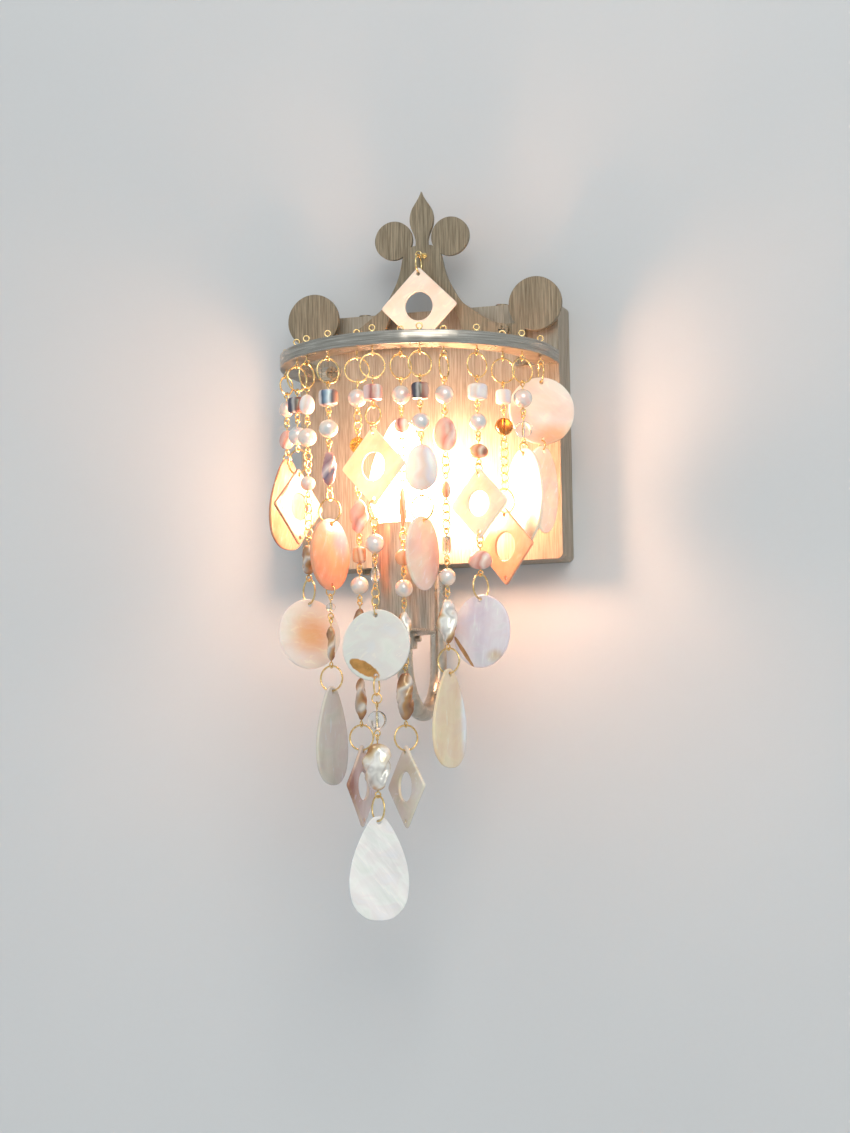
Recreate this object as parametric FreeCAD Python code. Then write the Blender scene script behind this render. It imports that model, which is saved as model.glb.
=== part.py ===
import FreeCAD, Part
import math
import os
from dataclasses import dataclass

# A wall sconce: a folded back box, a lamp cup on a bent arm, and a half-round hoop
# hung with strands of shell plates, pearls and wire rings under a cut-out crown.
# Frame: +X right along the wall, +Y into the wall, +Z up; millimetres.
# Origin: the middle of the back of the box, where it meets the wall.

# ---- driving dimensions -----------------------------------------------------
BOX_W = 150.0              # back box across
BOX_H = 141.0              # back box high
BOX_D = 22.0               # how far its face stands off the wall
BOX_SHEET = 1.2            # steel sheet of the box
BOX_CORNER = 3.0           # outside corner radius of the box

SCREW_D = 4.0              # machine screws that hold box, hoop, crown and ferrule
SCREW_HEAD_D = 7.0
SCREW_HEAD_H = 2.4
SCREW_LEN = 7.0
HOLE_CLEAR = 0.4           # clearance hole over a screw, on the diameter

BRACKET_W = 100.0          # wall bracket behind the box
BRACKET_SHEET = 2.0
BRACKET_RAIL = 16.0        # width of its upright and level rails
BRACKET_GAP = 0.6          # bracket to box, all round
BRACKET_TAB = 14.0         # tabs that take the box screws
BRACKET_SCREW_X = 40.0     # box screws from the middle
WALL_HOLE_X = 30.0         # wall screws from the middle
WALL_SLOT = 6.0            # extra length of each wall slot
WALL_SCREW_D = 4.5

HOOP_PROUD = 0.8           # how far the hoop stands out past the sides of the box
HOOP_CENTRE = 37.6         # centre of its curve off the wall
HOOP_TOP = 43.0            # top of the hoop over the origin
HOOP_H = 7.2
HOOP_DEPTH = 14.0          # inward width of the hoop's section
HOOP_WALL = 1.0
HOOP_PLATE = 1.5           # plates that close the hoop's ends on the box
HOOP_PLATE_W = 24.0
FRONT_ROW = 3.5            # front row of eye pins, in from the hoop's outer edge
BACK_ROW = 11.0            # back row of eye pins

CROWN_SHEET = 2.5
CROWN_STANDOFF = 5.0       # crown plate off the face of the box
CROWN_BASE = 51.0          # underside of the crown's rail
CROWN_TIP = 136.5          # point of the middle leaf
CROWN_DISC_X = 64.3
CROWN_DISC_Z = 68.6
CROWN_DISC_R = 14.9
CROWN_LOBE_X = 16.4
CROWN_LOBE_Z = 110.0
CROWN_LOBE_R = 10.85
CROWN_LEAF_W = 13.6
CROWN_SPACER_X = 46.0
CROWN_SPACER_D = 8.0
CROWN_RING_Z = 100.0       # hook that carries the crown's pendant

ARM_D = 9.0                # arm tube
ARM_WALL = 1.0
ARM_LAMP = 69.0            # lamp's axis off the wall
ARM_BEND_LOW = 157.0       # lowest point of the arm under the origin
ARM_NUT_D = 15.0
ARM_NUT_H = 4.0

CUP_D = 32.6
CUP_WALL = 1.2
CUP_BOTTOM = -112.0
CUP_H = 58.0
FERRULE_D = 14.0
FERRULE_H = 8.0

HOLDER_D = 26.0            # lamp holder inside the cup
HOLDER_H = 40.0
BULB_CAP_D = 14.0
BULB_CAP_H = 20.0
BULB_D = 35.0
BULB_H = 72.0
BULB_CLEAR = 0.5

RING_R = 7.0               # outside radius of the large wire rings
RING_WIRE = 1.0
SMALL_RING_R = 5.4
LOOP_R = 3.0               # small links
WIRE = 0.8                 # eye pins and small links
EYE_R = 1.9                # eye at each end of a pin
NECK = 0.6                 # bare wire between an eye and its bead
LINK_GAP = 0.1             # play where one wire hangs in another
BORE_CLEAR = 0.4           # bead bore over its wire, on the diameter
PIN_DROP = 1.5             # eye pin's wire under the hoop
PIN_RISE = 0.8             # collar of the eye pin over the hoop

SHELL_T = 1.6              # shell plates
SHELL_HOLE_R = 1.1
SHELL_EDGE = 3.0           # hole's middle in from the plate's edge
CORNER_IN = 0.8            # holes of a cornered plate sit this much further in

FACING = 18.5              # yaw of a plate seen square on from the usual viewpoint
BEAD_YAW = -2.0            # yaw of every flattened bead

BOX_BACK = 0.0
FACE_Y = -BOX_D
ARM_WALL_Y = -BOX_D / 2.0
LAMP_Y = -ARM_LAMP
HOOP_BOTTOM = HOOP_TOP - HOOP_H
HOOP_R = BOX_W / 2.0 + HOOP_PROUD
BEND_R = (ARM_LAMP - BOX_D / 2.0) / 2.0
BEND_Z = -ARM_BEND_LOW + ARM_D / 2.0 + BEND_R


# ---- small helpers ----------------------------------------------------------
def vec(x, y, z):
    """A FreeCAD vector."""
    return FreeCAD.Vector(x, y, z)


def rod(radius, length, x, y, z, axis="z"):
    """A round rod starting at a point and running along +axis."""
    ways = {"x": vec(1, 0, 0), "y": vec(0, 1, 0), "z": vec(0, 0, 1)}
    return Part.makeCylinder(radius, length, vec(x, y, z), ways[axis])


def block(x0, x1, y0, y1, z0, z1):
    """A box between two corners."""
    return Part.makeBox(x1 - x0, y1 - y0, z1 - z0, vec(x0, y0, z0))


def joined(shapes):
    """One solid from overlapping shapes."""
    return shapes[0].fuse(shapes[1:]).removeSplitter() if len(shapes) > 1 else shapes[0]


def group(solids):
    """Separate solids kept in one node."""
    return Part.makeCompound(solids)


def turned(shape, yaw):
    """The shape turned about the plumb line."""
    out = shape.copy()
    out.rotate(vec(0, 0, 0), vec(0, 0, 1), yaw)
    return out


def moved(shape, x, y, z):
    """The shape carried to a point."""
    out = shape.copy()
    out.translate(vec(x, y, z))
    return out


def save(shape, node):
    """Write one node."""
    shape.exportStep("parts/%s.step" % node)


def plate_xz(wire, thickness):
    """A flat plate from an outline in the XZ plane, centred on that plane."""
    face = Part.Face(wire)
    return moved(face.extrude(vec(0, thickness, 0)), 0, -thickness / 2.0, 0)


# ---- back box and bracket ---------------------------------------------------
def rounded_block(width, height, depth, radius, inset):
    """A block with rounded upright corners lying back on the wall."""
    half_w = width / 2.0 - inset
    half_h = height / 2.0 - inset
    body = block(-half_w, half_w, -depth + inset, 0.0, -half_h, half_h)
    corner = max(radius - inset, 0.6)
    edges = [e for e in body.Edges if abs(e.tangentAt(e.FirstParameter).y) > 0.9]
    return body.makeFillet(corner, edges)


def screw_places_box():
    """Where the box is screwed to the bracket: (x, z, way the screw points)."""
    top = BOX_H / 2.0
    return [(-BRACKET_SCREW_X, top, -1), (BRACKET_SCREW_X, top, -1), (-BRACKET_SCREW_X, -top, 1)]


def hoop_screw_places():
    """Screws through the hoop's end plates: (x, z)."""
    side = BOX_W / 2.0 - HOOP_PLATE_W + 4.0
    return [(-side, HOOP_BOTTOM + HOOP_H / 2.0), (side, HOOP_BOTTOM + HOOP_H / 2.0)]


def crown_screw_places():
    """Screws through the crown's spacers: (x, z)."""
    z = CROWN_BASE + CROWN_SPACER_D / 2.0
    return [(-CROWN_SPACER_X, z), (CROWN_SPACER_X, z)]


def back_box():
    """The folded pan: face and four sides, open to the wall."""
    outer = rounded_block(BOX_W, BOX_H, BOX_D, BOX_CORNER, 0.0)
    inner = rounded_block(BOX_W, BOX_H, BOX_D, BOX_CORNER, BOX_SHEET)
    shell = outer.cut(inner)
    hole = (SCREW_D + HOLE_CLEAR) / 2.0
    for x, z, way in screw_places_box():
        shell = shell.cut(rod(hole, 6.0, x, ARM_WALL_Y, z - 3.0))
    for x, z in hoop_screw_places() + crown_screw_places():
        shell = shell.cut(rod(hole, 6.0, x, FACE_Y - 3.0, z, "y"))
    return shell.cut(rod(ARM_D / 2.0 + 0.15, 6.0, 0.0, ARM_WALL_Y, -BOX_H / 2.0 - 3.0))


def wall_bracket():
    """The window-shaped strap screwed to the wall, with tabs for the box screws."""
    half_w = BRACKET_W / 2.0
    half_h = BOX_H / 2.0 - BOX_SHEET - BRACKET_GAP
    back = -BRACKET_SHEET
    solid = block(-half_w, half_w, back, 0.0, -half_h, half_h)
    window = block(-half_w + BRACKET_RAIL, half_w - BRACKET_RAIL, back - 1.0, 1.0,
                   -half_h + BRACKET_RAIL, -BRACKET_RAIL / 2.0)
    upper = block(-half_w + BRACKET_RAIL, half_w - BRACKET_RAIL, back - 1.0, 1.0,
                  BRACKET_RAIL / 2.0, half_h - BRACKET_RAIL)
    solid = solid.cut(window).cut(upper)
    for x, z, way in screw_places_box():
        edge = half_h if way < 0 else -half_h
        low, high = sorted((edge, edge + way * BRACKET_SHEET))
        tab = block(x - BRACKET_TAB / 2.0, x + BRACKET_TAB / 2.0, ARM_WALL_Y - 6.0, 0.0, low, high)
        solid = solid.fuse(tab)
        solid = solid.cut(rod(SCREW_D / 2.0, 12.0, x, ARM_WALL_Y, edge - 6.0))
    slot_r = (WALL_SCREW_D + HOLE_CLEAR) / 2.0
    for side in (-1, 1):
        x = side * WALL_HOLE_X
        slot = joined([rod(slot_r, 6.0, x - WALL_SLOT / 2.0, -4.0, 0.0, "y"),
                       rod(slot_r, 6.0, x + WALL_SLOT / 2.0, -4.0, 0.0, "y"),
                       block(x - WALL_SLOT / 2.0, x + WALL_SLOT / 2.0, -4.0, 2.0, -slot_r, slot_r)])
        solid = solid.cut(slot)
    return solid.removeSplitter()


def screw(x, y, z, way, length=SCREW_LEN):
    """A pan-head machine screw; its shank starts at the point and runs along `way`."""
    shank = Part.makeCylinder(SCREW_D / 2.0, length, vec(x, y, z), way)
    head_at = vec(x, y, z) - way * SCREW_HEAD_H
    head = Part.makeCylinder(SCREW_HEAD_D / 2.0, SCREW_HEAD_H, head_at, way)
    recess = Part.makeBox(0.9, SCREW_HEAD_D * 0.6, 1.1, vec(-0.45, -SCREW_HEAD_D * 0.3, -SCREW_HEAD_H))
    cross = recess.fuse(turned(recess, 90))
    turn = FreeCAD.Rotation(vec(0, 0, 1), way)
    cross.Placement = FreeCAD.Placement(vec(x, y, z), turn).multiply(cross.Placement)
    return head.fuse(shank).cut(cross).removeSplitter()


def fixing_screws():
    """Every machine screw of the lamp, each its own solid."""
    inward = vec(0, 1, 0)
    solids = [screw(x, ARM_WALL_Y, z, vec(0, 0, way)) for x, z, way in screw_places_box()]
    solids += [screw(x, FACE_Y - HOOP_PLATE, z, inward) for x, z in hoop_screw_places()]
    front = FACE_Y - CROWN_STANDOFF - CROWN_SHEET
    length = CROWN_SHEET + CROWN_STANDOFF + BOX_SHEET + 3.0
    solids += [screw(x, front, z, inward, length) for x, z in crown_screw_places()]
    return group(solids)


# ---- hoop -------------------------------------------------------------------
def hoop_section(outer_r, inner_r, z0, z1, back_y):
    """The half-round U between two radii, with straight legs back to a plane."""
    centre = -HOOP_CENTRE
    ring = rod(outer_r, z1 - z0, 0, centre, z0).cut(rod(inner_r, z1 - z0, 0, centre, z0))
    front = block(-outer_r - 1, outer_r + 1, centre - outer_r - 1, centre, z0, z1)
    legs = [block(inner_r, outer_r, centre, back_y, z0, z1),
            block(-outer_r, -inner_r, centre, back_y, z0, z1)]
    return joined([ring.common(front)] + legs)


def hook_point(strand):
    """Where a strand's eye pin goes through the hoop: (x, y)."""
    reach = HOOP_R - strand.row
    turn = math.radians(strand.angle)
    return -reach * math.cos(turn), -HOOP_CENTRE - reach * math.sin(turn)


def hoop_tube():
    """The hoop: a flat hollow section bent round, drilled for the eye pins."""
    back = FACE_Y - HOOP_PLATE
    solid = hoop_section(HOOP_R, HOOP_R - HOOP_DEPTH, HOOP_BOTTOM, HOOP_TOP, back)
    hollow = hoop_section(HOOP_R - HOOP_WALL, HOOP_R - HOOP_DEPTH + HOOP_WALL,
                          HOOP_BOTTOM + HOOP_WALL, HOOP_TOP - HOOP_WALL, back)
    solid = solid.cut(hollow)
    for strand in STRANDS:
        x, y = hook_point(strand)
        solid = solid.cut(rod(WIRE / 2.0 + 0.15, HOOP_H + 2.0, x, y, HOOP_BOTTOM - 1.0))
    return solid


def hoop_end_plates():
    """The two plates that close the hoop's ends and bolt to the box's face."""
    solids = []
    for side in (-1, 1):
        outer = side * (BOX_W / 2.0)
        inner = side * (BOX_W / 2.0 - HOOP_PLATE_W)
        low, high = sorted((outer, inner))
        middle = HOOP_BOTTOM + HOOP_H / 2.0
        plate = block(low, high, FACE_Y - HOOP_PLATE, FACE_Y, HOOP_BOTTOM, HOOP_TOP)
        plug_x = side * (HOOP_R - HOOP_DEPTH / 2.0)
        half = HOOP_DEPTH / 2.0 - HOOP_WALL - 0.1
        plug = block(plug_x - half, plug_x + half, FACE_Y - HOOP_PLATE - 5.0, FACE_Y - HOOP_PLATE,
                     HOOP_BOTTOM + HOOP_WALL + 0.1, HOOP_TOP - HOOP_WALL - 0.1)
        x = side * (BOX_W / 2.0 - HOOP_PLATE_W + 4.0)
        hole = rod((SCREW_D + HOLE_CLEAR) / 2.0, 4.0, x, FACE_Y - 3.0, middle, "y")
        solids.append(plate.fuse(plug).cut(hole).removeSplitter())
    return group(solids)


# ---- crown ------------------------------------------------------------------
def spline_edge(points):
    """A smooth edge through XZ points."""
    curve = Part.BSplineCurve()
    curve.interpolate([vec(x, 0, z) for x, z in points])
    return curve.toShape()


def crown_half_points():
    """Right half of the crown's body, from the stem's top down to the disc."""
    return [(5.0, CROWN_LOBE_Z - 4.0), (10.4, 101.6), (12.4, 94.0), (15.0, 85.8), (18.8, 78.6),
            (22.6, 72.9), (27.5, 69.0), (33.0, 65.0), (39.4, 60.9), (45.9, 58.7), (52.3, 58.9),
            (CROWN_DISC_X - 6.0, 62.0)]


def crown_plate():
    """The cut-out crown: leaf, two lobes, swags, end discs and the arched opening."""
    right = crown_half_points()
    left = [(-x, z) for x, z in reversed(right)]
    top = Part.makeLine(vec(left[-1][0], 0, left[-1][1]), vec(right[0][0], 0, right[0][1]))
    side_r = Part.makeLine(vec(right[-1][0], 0, right[-1][1]), vec(right[-1][0], 0, CROWN_BASE))
    side_l = Part.makeLine(vec(left[0][0], 0, CROWN_BASE), vec(left[0][0], 0, left[0][1]))
    foot = Part.makeLine(vec(right[-1][0], 0, CROWN_BASE), vec(left[0][0], 0, CROWN_BASE))
    body = plate_xz(Part.Wire([spline_edge(left), top, spline_edge(right), side_r, foot, side_l]),
                    CROWN_SHEET)
    half = CROWN_SHEET / 2.0
    discs = [rod(CROWN_DISC_R, CROWN_SHEET, s * CROWN_DISC_X, -half, CROWN_DISC_Z, "y") for s in (-1, 1)]
    lobes = [rod(CROWN_LOBE_R, CROWN_SHEET, s * CROWN_LOBE_X, -half, CROWN_LOBE_Z, "y") for s in (-1, 1)]
    leaf_side = [(0.0, CROWN_TIP), (2.6, 131.2), (5.6, 126.4), (CROWN_LEAF_W / 2.0, 121.6),
                 (6.2, 116.6), (4.4, 112.2), (3.6, 106.0)]
    leaf_back = [(-x, z) for x, z in reversed(leaf_side)]
    base = Part.makeLine(vec(3.6, 0, 106.0), vec(-3.6, 0, 106.0))
    leaf = plate_xz(Part.Wire([spline_edge(leaf_side), base, spline_edge(leaf_back)]), CROWN_SHEET)
    solid = joined([body] + discs + lobes + [leaf])
    arch_side = [(0.0, 90.0), (6.0, 84.5), (12.0, 78.5), (17.6, 69.5), (21.6, 61.0), (22.8, CROWN_BASE + 5.0)]
    arch_back = [(-x, z) for x, z in reversed(arch_side)]
    arch_foot = Part.makeLine(vec(22.8, 0, CROWN_BASE + 5.0), vec(-22.8, 0, CROWN_BASE + 5.0))
    arch = plate_xz(Part.Wire([spline_edge(arch_side), arch_foot, spline_edge(arch_back)]), CROWN_SHEET * 2)
    solid = solid.cut(arch)
    solid = solid.cut(rod(WIRE / 2.0 + 0.05, 8.0, EYE_R - WIRE / 2.0, -4.0, CROWN_RING_Z, "y"))
    for x, z in crown_screw_places():
        solid = solid.cut(rod((SCREW_D + HOLE_CLEAR) / 2.0, 8.0, x, -4.0, z, "y"))
    return moved(solid, 0, FACE_Y - CROWN_STANDOFF - half, 0)


def crown_spacers():
    """The two round spacers between the crown and the box."""
    solids = []
    for x, z in crown_screw_places():
        post = rod(CROWN_SPACER_D / 2.0, CROWN_STANDOFF, x, FACE_Y - CROWN_STANDOFF, z, "y")
        bore = rod((SCREW_D + HOLE_CLEAR) / 2.0, CROWN_STANDOFF, x, FACE_Y - CROWN_STANDOFF, z, "y")
        solids.append(post.cut(bore))
    return group(solids)


# ---- arm, cup and lamp ------------------------------------------------------
def arm_path():
    """The arm's centre line: down from the box, round under, up into the cup."""
    top = -BOX_H / 2.0 + BOX_SHEET + ARM_NUT_H + 2.0
    up = CUP_BOTTOM + CUP_WALL + 3.0
    wall_leg = Part.makeLine(vec(0, ARM_WALL_Y, top), vec(0, ARM_WALL_Y, BEND_Z))
    low = vec(0, ARM_WALL_Y - BEND_R, BEND_Z - BEND_R)
    bend = Part.Arc(vec(0, ARM_WALL_Y, BEND_Z), low, vec(0, LAMP_Y, BEND_Z)).toShape()
    lamp_leg = Part.makeLine(vec(0, LAMP_Y, BEND_Z), vec(0, LAMP_Y, up))
    return Part.Wire([wall_leg, bend, lamp_leg])


def swept_along_arm(radius):
    """A round bar along the arm's centre line."""
    path = arm_path()
    start = path.Edges[0].Vertexes[0].Point
    ring = Part.Wire([Part.makeCircle(radius, start, vec(0, 0, -1))])
    return path.makePipeShell([ring], True, False)


def arm_tube():
    """The bent arm, hollow for the lead."""
    return swept_along_arm(ARM_D / 2.0).cut(swept_along_arm(ARM_D / 2.0 - ARM_WALL))


def hex_nut(x, y, z0, height, across, bore):
    """A hexagonal nut standing on z0."""
    corners = [vec(x + across / 1.732 * math.cos(math.radians(60 * i)),
                   y + across / 1.732 * math.sin(math.radians(60 * i)), z0) for i in range(7)]
    prism = Part.Face(Part.makePolygon(corners)).extrude(vec(0, 0, height))
    return prism.cut(rod(bore, height, x, y, z0))


def arm_nuts():
    """Two nuts that clamp the arm to the floor of the box."""
    floor_in = -BOX_H / 2.0 + BOX_SHEET
    floor_out = -BOX_H / 2.0
    bore = ARM_D / 2.0
    return group([hex_nut(0, ARM_WALL_Y, floor_in, ARM_NUT_H, ARM_NUT_D, bore),
                  hex_nut(0, ARM_WALL_Y, floor_out - ARM_NUT_H, ARM_NUT_H, ARM_NUT_D, bore)])


def lamp_cup():
    """The turned cup round the lamp holder, with a rolled lower lip."""
    outer = rod(CUP_D / 2.0, CUP_H, 0, LAMP_Y, CUP_BOTTOM)
    inner = rod(CUP_D / 2.0 - CUP_WALL, CUP_H, 0, LAMP_Y, CUP_BOTTOM + CUP_WALL)
    lip = Part.makeTorus(CUP_D / 2.0, 0.7, vec(0, LAMP_Y, CUP_BOTTOM + 0.7))
    bore = rod(ARM_D / 2.0 + 0.1, CUP_WALL * 4, 0, LAMP_Y, CUP_BOTTOM - CUP_WALL)
    return joined([outer, lip]).cut(inner).cut(bore)


def cup_ferrule():
    """The collar under the cup that grips the arm."""
    low = CUP_BOTTOM - FERRULE_H
    collar = rod(FERRULE_D / 2.0, FERRULE_H, 0, LAMP_Y, low)
    collar = collar.cut(rod(ARM_D / 2.0, FERRULE_H, 0, LAMP_Y, low))
    knob = rod(1.6, 3.0, FERRULE_D / 2.0 - 0.6, LAMP_Y, CUP_BOTTOM - 3.0, "x")
    return collar.fuse(knob)


def lamp_holder():
    """The insulating lamp holder: a cup for the bulb's cap over a solid foot."""
    foot = CUP_BOTTOM + CUP_WALL
    body = rod(HOLDER_D / 2.0, HOLDER_H, 0, LAMP_Y, foot)
    skirt = rod(CUP_D / 2.0 - CUP_WALL, 3.0, 0, LAMP_Y, foot)
    socket = rod(BULB_CAP_D / 2.0 + BULB_CLEAR + 0.8, HOLDER_H, 0, LAMP_Y, foot + HOLDER_H - BULB_CAP_H)
    lead_way = rod(ARM_D / 2.0 + 0.1, 12.0, 0, LAMP_Y, foot)
    return joined([body, skirt]).cut(socket).cut(lead_way)


def holder_contacts():
    """The screw-shell contact and the tongue under the cap."""
    low = CUP_BOTTOM + CUP_WALL + HOLDER_H - BULB_CAP_H
    inner = BULB_CAP_D / 2.0 + BULB_CLEAR
    shell = rod(inner + 0.8, BULB_CAP_H * 0.7, 0, LAMP_Y, low)
    shell = shell.cut(rod(inner, BULB_CAP_H * 0.7, 0, LAMP_Y, low))
    return shell.fuse(rod(inner + 0.2, 0.6, 0, LAMP_Y, low))


def bulb_seat():
    """Height of the bottom of the bulb's cap."""
    return CUP_BOTTOM + CUP_WALL + HOLDER_H - BULB_CAP_H + 0.6


def bulb_cap():
    """The bulb's metal cap with a rounded tip contact."""
    low = bulb_seat()
    tip = rod(3.0, 2.0, 0, LAMP_Y, low)
    body = rod(BULB_CAP_D / 2.0, BULB_CAP_H, 0, LAMP_Y, low + 2.0)
    solids = [tip, body]
    for turn in range(4):
        at = vec(0, LAMP_Y, low + 5.0 + 3.0 * turn)
        solids.append(Part.makeTorus(BULB_CAP_D / 2.0 - 0.25, 0.6, at))
    return joined(solids)


def glass_profile(inset):
    """Half outline of the candle-shaped glass."""
    low = bulb_seat() + 2.0 + BULB_CAP_H
    radius = BULB_D / 2.0
    shape = [(0.36, 0.00), (0.50, 0.10), (0.80, 0.26), (1.00, 0.42), (0.96, 0.56),
             (0.74, 0.74), (0.46, 0.88), (0.22, 0.97)]
    side = [(r * radius - inset, low + t * BULB_H) for r, t in shape]
    return low, side


def bulb_glass():
    """The clear candle bulb, hollow, standing on its cap."""
    def skin(inset):
        low, side = glass_profile(inset)
        tip = low + BULB_H - inset
        points = [vec(r, 0, z) for r, z in side] + [vec(0, 0, tip)]
        curve = Part.BSplineCurve()
        curve.interpolate(points)
        foot = points[0]
        base = [Part.makeLine(vec(0, 0, tip), vec(0, 0, foot.z)),
                Part.makeLine(vec(0, 0, foot.z), foot)]
        face = Part.Face(Part.Wire([curve.toShape()] + base))
        return moved(face.revolve(vec(0, 0, 0), vec(0, 0, 1), 360), 0, LAMP_Y, 0)
    return skin(0.0).cut(skin(0.8))


def bulb_filament():
    """Stem, two supports and the glowing arch inside the glass."""
    low = bulb_seat() + 2.0 + BULB_CAP_H
    stem = rod(2.2, 16.0, 0, LAMP_Y, low)
    lean = 3.6
    posts = [rod(0.5, 26.0, side * lean * 0.4, LAMP_Y, low + 12.0) for side in (-1, 1)]
    arch = Part.makeTorus(lean * 0.4, 0.5, vec(0, LAMP_Y, low + 38.0), vec(0, 1, 0), 0, 360)
    return joined([stem] + posts + [arch])


def terminal_block():
    """The connector block screwed inside the box for the building's supply."""
    low = BRACKET_RAIL
    body = block(-14.0, 14.0, FACE_Y + BOX_SHEET, FACE_Y + BOX_SHEET + 11.0, low - 28.0, low - 10.0)
    for index in (-1, 0, 1):
        body = body.cut(rod(1.7, 30.0, index * 9.0, FACE_Y + BOX_SHEET + 6.0, low - 34.0))
        body = body.cut(rod(2.0, 3.5, index * 9.0, FACE_Y + BOX_SHEET + 7.6, low - 15.0, "y"))
    return body


def lamp_lead():
    """The lamp's lead, running through the whole arm to the connector block."""
    radius = ARM_D / 2.0 - ARM_WALL - 1.0
    inside = swept_along_arm(radius)
    top = -BOX_H / 2.0 + BOX_SHEET + ARM_NUT_H + 2.0
    tail = rod(radius, BRACKET_RAIL - 28.0 - 1.0 - top, 0, ARM_WALL_Y, top)
    foot = CUP_BOTTOM + CUP_WALL
    head = rod(radius, 8.8, 0, LAMP_Y, foot + 3.0)
    return joined([inside, tail, head])


# ---- wires, beads and shell plates ------------------------------------------
def wire_ring(outer_r, wire):
    """A round wire ring standing in the XZ plane about the origin."""
    return Part.makeTorus(outer_r - wire / 2.0, wire / 2.0, vec(0, 0, 0), vec(0, 1, 0))


def ellipsoid(half_x, half_y, half_z):
    """A smooth egg with three half sizes."""
    stretch = FreeCAD.Matrix()
    stretch.scale(half_x, half_y, half_z)
    return Part.makeSphere(1.0).transformGeometry(stretch)


def barrel(half_w, half_h):
    """A short cylinder with rounded rims."""
    body = rod(half_w, 2 * half_h, 0, 0, -half_h)
    return body.makeFillet(min(half_w, half_h) * 0.35, [body.Edges[0], body.Edges[2]])


def cut_gem(half_w, half_h):
    """A turned bead of two cones with a belt."""
    points = [(0, half_h), (half_w * 0.35, half_h), (half_w, half_h * 0.25), (half_w, -half_h * 0.25),
              (half_w * 0.35, -half_h), (0, -half_h), (0, half_h)]
    wire = Part.makePolygon([vec(x, 0, z) for x, z in points])
    return Part.Face(wire).revolve(vec(0, 0, 0), vec(0, 0, 1), 360)


def bead_solid(kind, width, height, depth):
    """A bead of one kind about the origin, bored down its middle."""
    half_w, half_h, half_d = width / 2.0, height / 2.0, depth / 2.0
    if kind == "round":
        body = Part.makeSphere(half_w)
    elif kind == "barrel":
        body = barrel(half_w, half_h)
    elif kind == "gem":
        body = cut_gem(half_w, half_h)
    else:
        body = ellipsoid(half_w, half_d, half_h)
    return body.cut(rod((WIRE + BORE_CLEAR) / 2.0, height + 2.0, 0, 0, -half_h - 1.0))


def oval_wire(half_w, half_h):
    """An oval outline in the XZ plane."""
    long_first = half_h >= half_w
    major, minor = (half_h, half_w) if long_first else (half_w, half_h)
    curve = Part.Ellipse(vec(0, 0, 0), major + (1e-4 if major == minor else 0.0), minor)
    edge = curve.toShape()
    if long_first:
        edge.rotate(vec(0, 0, 0), vec(0, 0, 1), 90)
    edge.rotate(vec(0, 0, 0), vec(1, 0, 0), 90)
    return Part.Wire([edge])


def drop_wire(half_w, half_h):
    """A teardrop outline: round below, drawn in to a blunt point above."""
    side = [(0.0, half_h), (0.24 * half_w, 0.95 * half_h), (0.50 * half_w, 0.72 * half_h),
            (0.76 * half_w, 0.38 * half_h), (0.94 * half_w, 0.02 * half_h),
            (0.99 * half_w, -0.34 * half_h), (0.86 * half_w, -0.70 * half_h),
            (0.48 * half_w, -0.94 * half_h), (0.0, -half_h)]
    other = [(-x, z) for x, z in reversed(side)]
    curve = Part.BSplineCurve()
    curve.interpolate([vec(x, 0, z) for x, z in side + other[1:-1]], True)
    return Part.Wire([curve.toShape()])


def diamond_plate(half_w, half_h, hole_r):
    """A square plate on its corner with a round window."""
    corners = [(0, half_h), (half_w, 0), (0, -half_h), (-half_w, 0), (0, half_h)]
    plate = plate_xz(Part.makePolygon([vec(x, 0, z) for x, z in corners]), SHELL_T)
    edges = [e for e in plate.Edges if abs(e.tangentAt(e.FirstParameter).y) > 0.9]
    plate = plate.makeFillet(1.2, edges)
    return plate.cut(rod(hole_r, SHELL_T * 3, 0, -SHELL_T * 1.5, 0, "y"))


def shell_solid(kind, width, height, lower_hole):
    """A shell plate about the origin, with its drilled holes."""
    half_w, half_h = width / 2.0, height / 2.0
    if kind == "diamond":
        plate = diamond_plate(half_w, half_h, width * 0.18)
    elif kind == "drop":
        plate = plate_xz(drop_wire(half_w, half_h), SHELL_T)
    else:
        plate = plate_xz(oval_wire(half_w, half_h), SHELL_T)
    holes = [half_h - SHELL_EDGE - (CORNER_IN if kind == "diamond" else 0.0)]
    if lower_hole:
        holes.append(-holes[0])
    for z in holes:
        plate = plate.cut(rod(SHELL_HOLE_R, SHELL_T * 3, 0, -SHELL_T * 1.5, z, "y"))
    return plate, holes[0]


@dataclass(frozen=True)
class Piece:
    """One thing on a strand."""
    sort: str
    kind: str = ""
    width: float = 0.0
    height: float = 0.0
    depth: float = 0.0
    yaw: float = 0.0


@dataclass(frozen=True)
class Strand:
    """A strand: its name, its angle round the hoop, its row and its pieces from the top."""
    name: str
    angle: float
    row: float
    pieces: tuple


def ring(yaw=0.0):
    """A large wire ring, yawed from facing the viewer."""
    return Piece("ring", "large", yaw=FACING + yaw)


def small_ring(yaw=0.0):
    """A middling wire ring."""
    return Piece("ring", "small", yaw=FACING + yaw)


def link(yaw=0.0):
    """A small link."""
    return Piece("ring", "link", yaw=FACING + yaw)


def links(count):
    """Small links turned alternately."""
    return [link(45 + 90 * (index % 2)) for index in range(count)]


def bead(kind, width, height=None, depth=None):
    """A bead on its own eye pin."""
    return Piece("bead", kind, width, height or width, depth or width)


def plate(kind, width, height, yaw=0.0):
    """A shell plate, yawed from facing the viewer."""
    return Piece("plate", kind, width, height, yaw=FACING + yaw)


PEARL = bead("round", 10.0)
BARREL = bead("barrel", 10.5, 8.6)
NUGGET = bead("egg", 12.5, 18.0, 8.5)
LONG_NUGGET = bead("egg", 13.0, 23.0, 9.0)
GOLD_BALL = bead("round", 8.8)
CRYSTAL = bead("gem", 5.6, 8.4)

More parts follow.
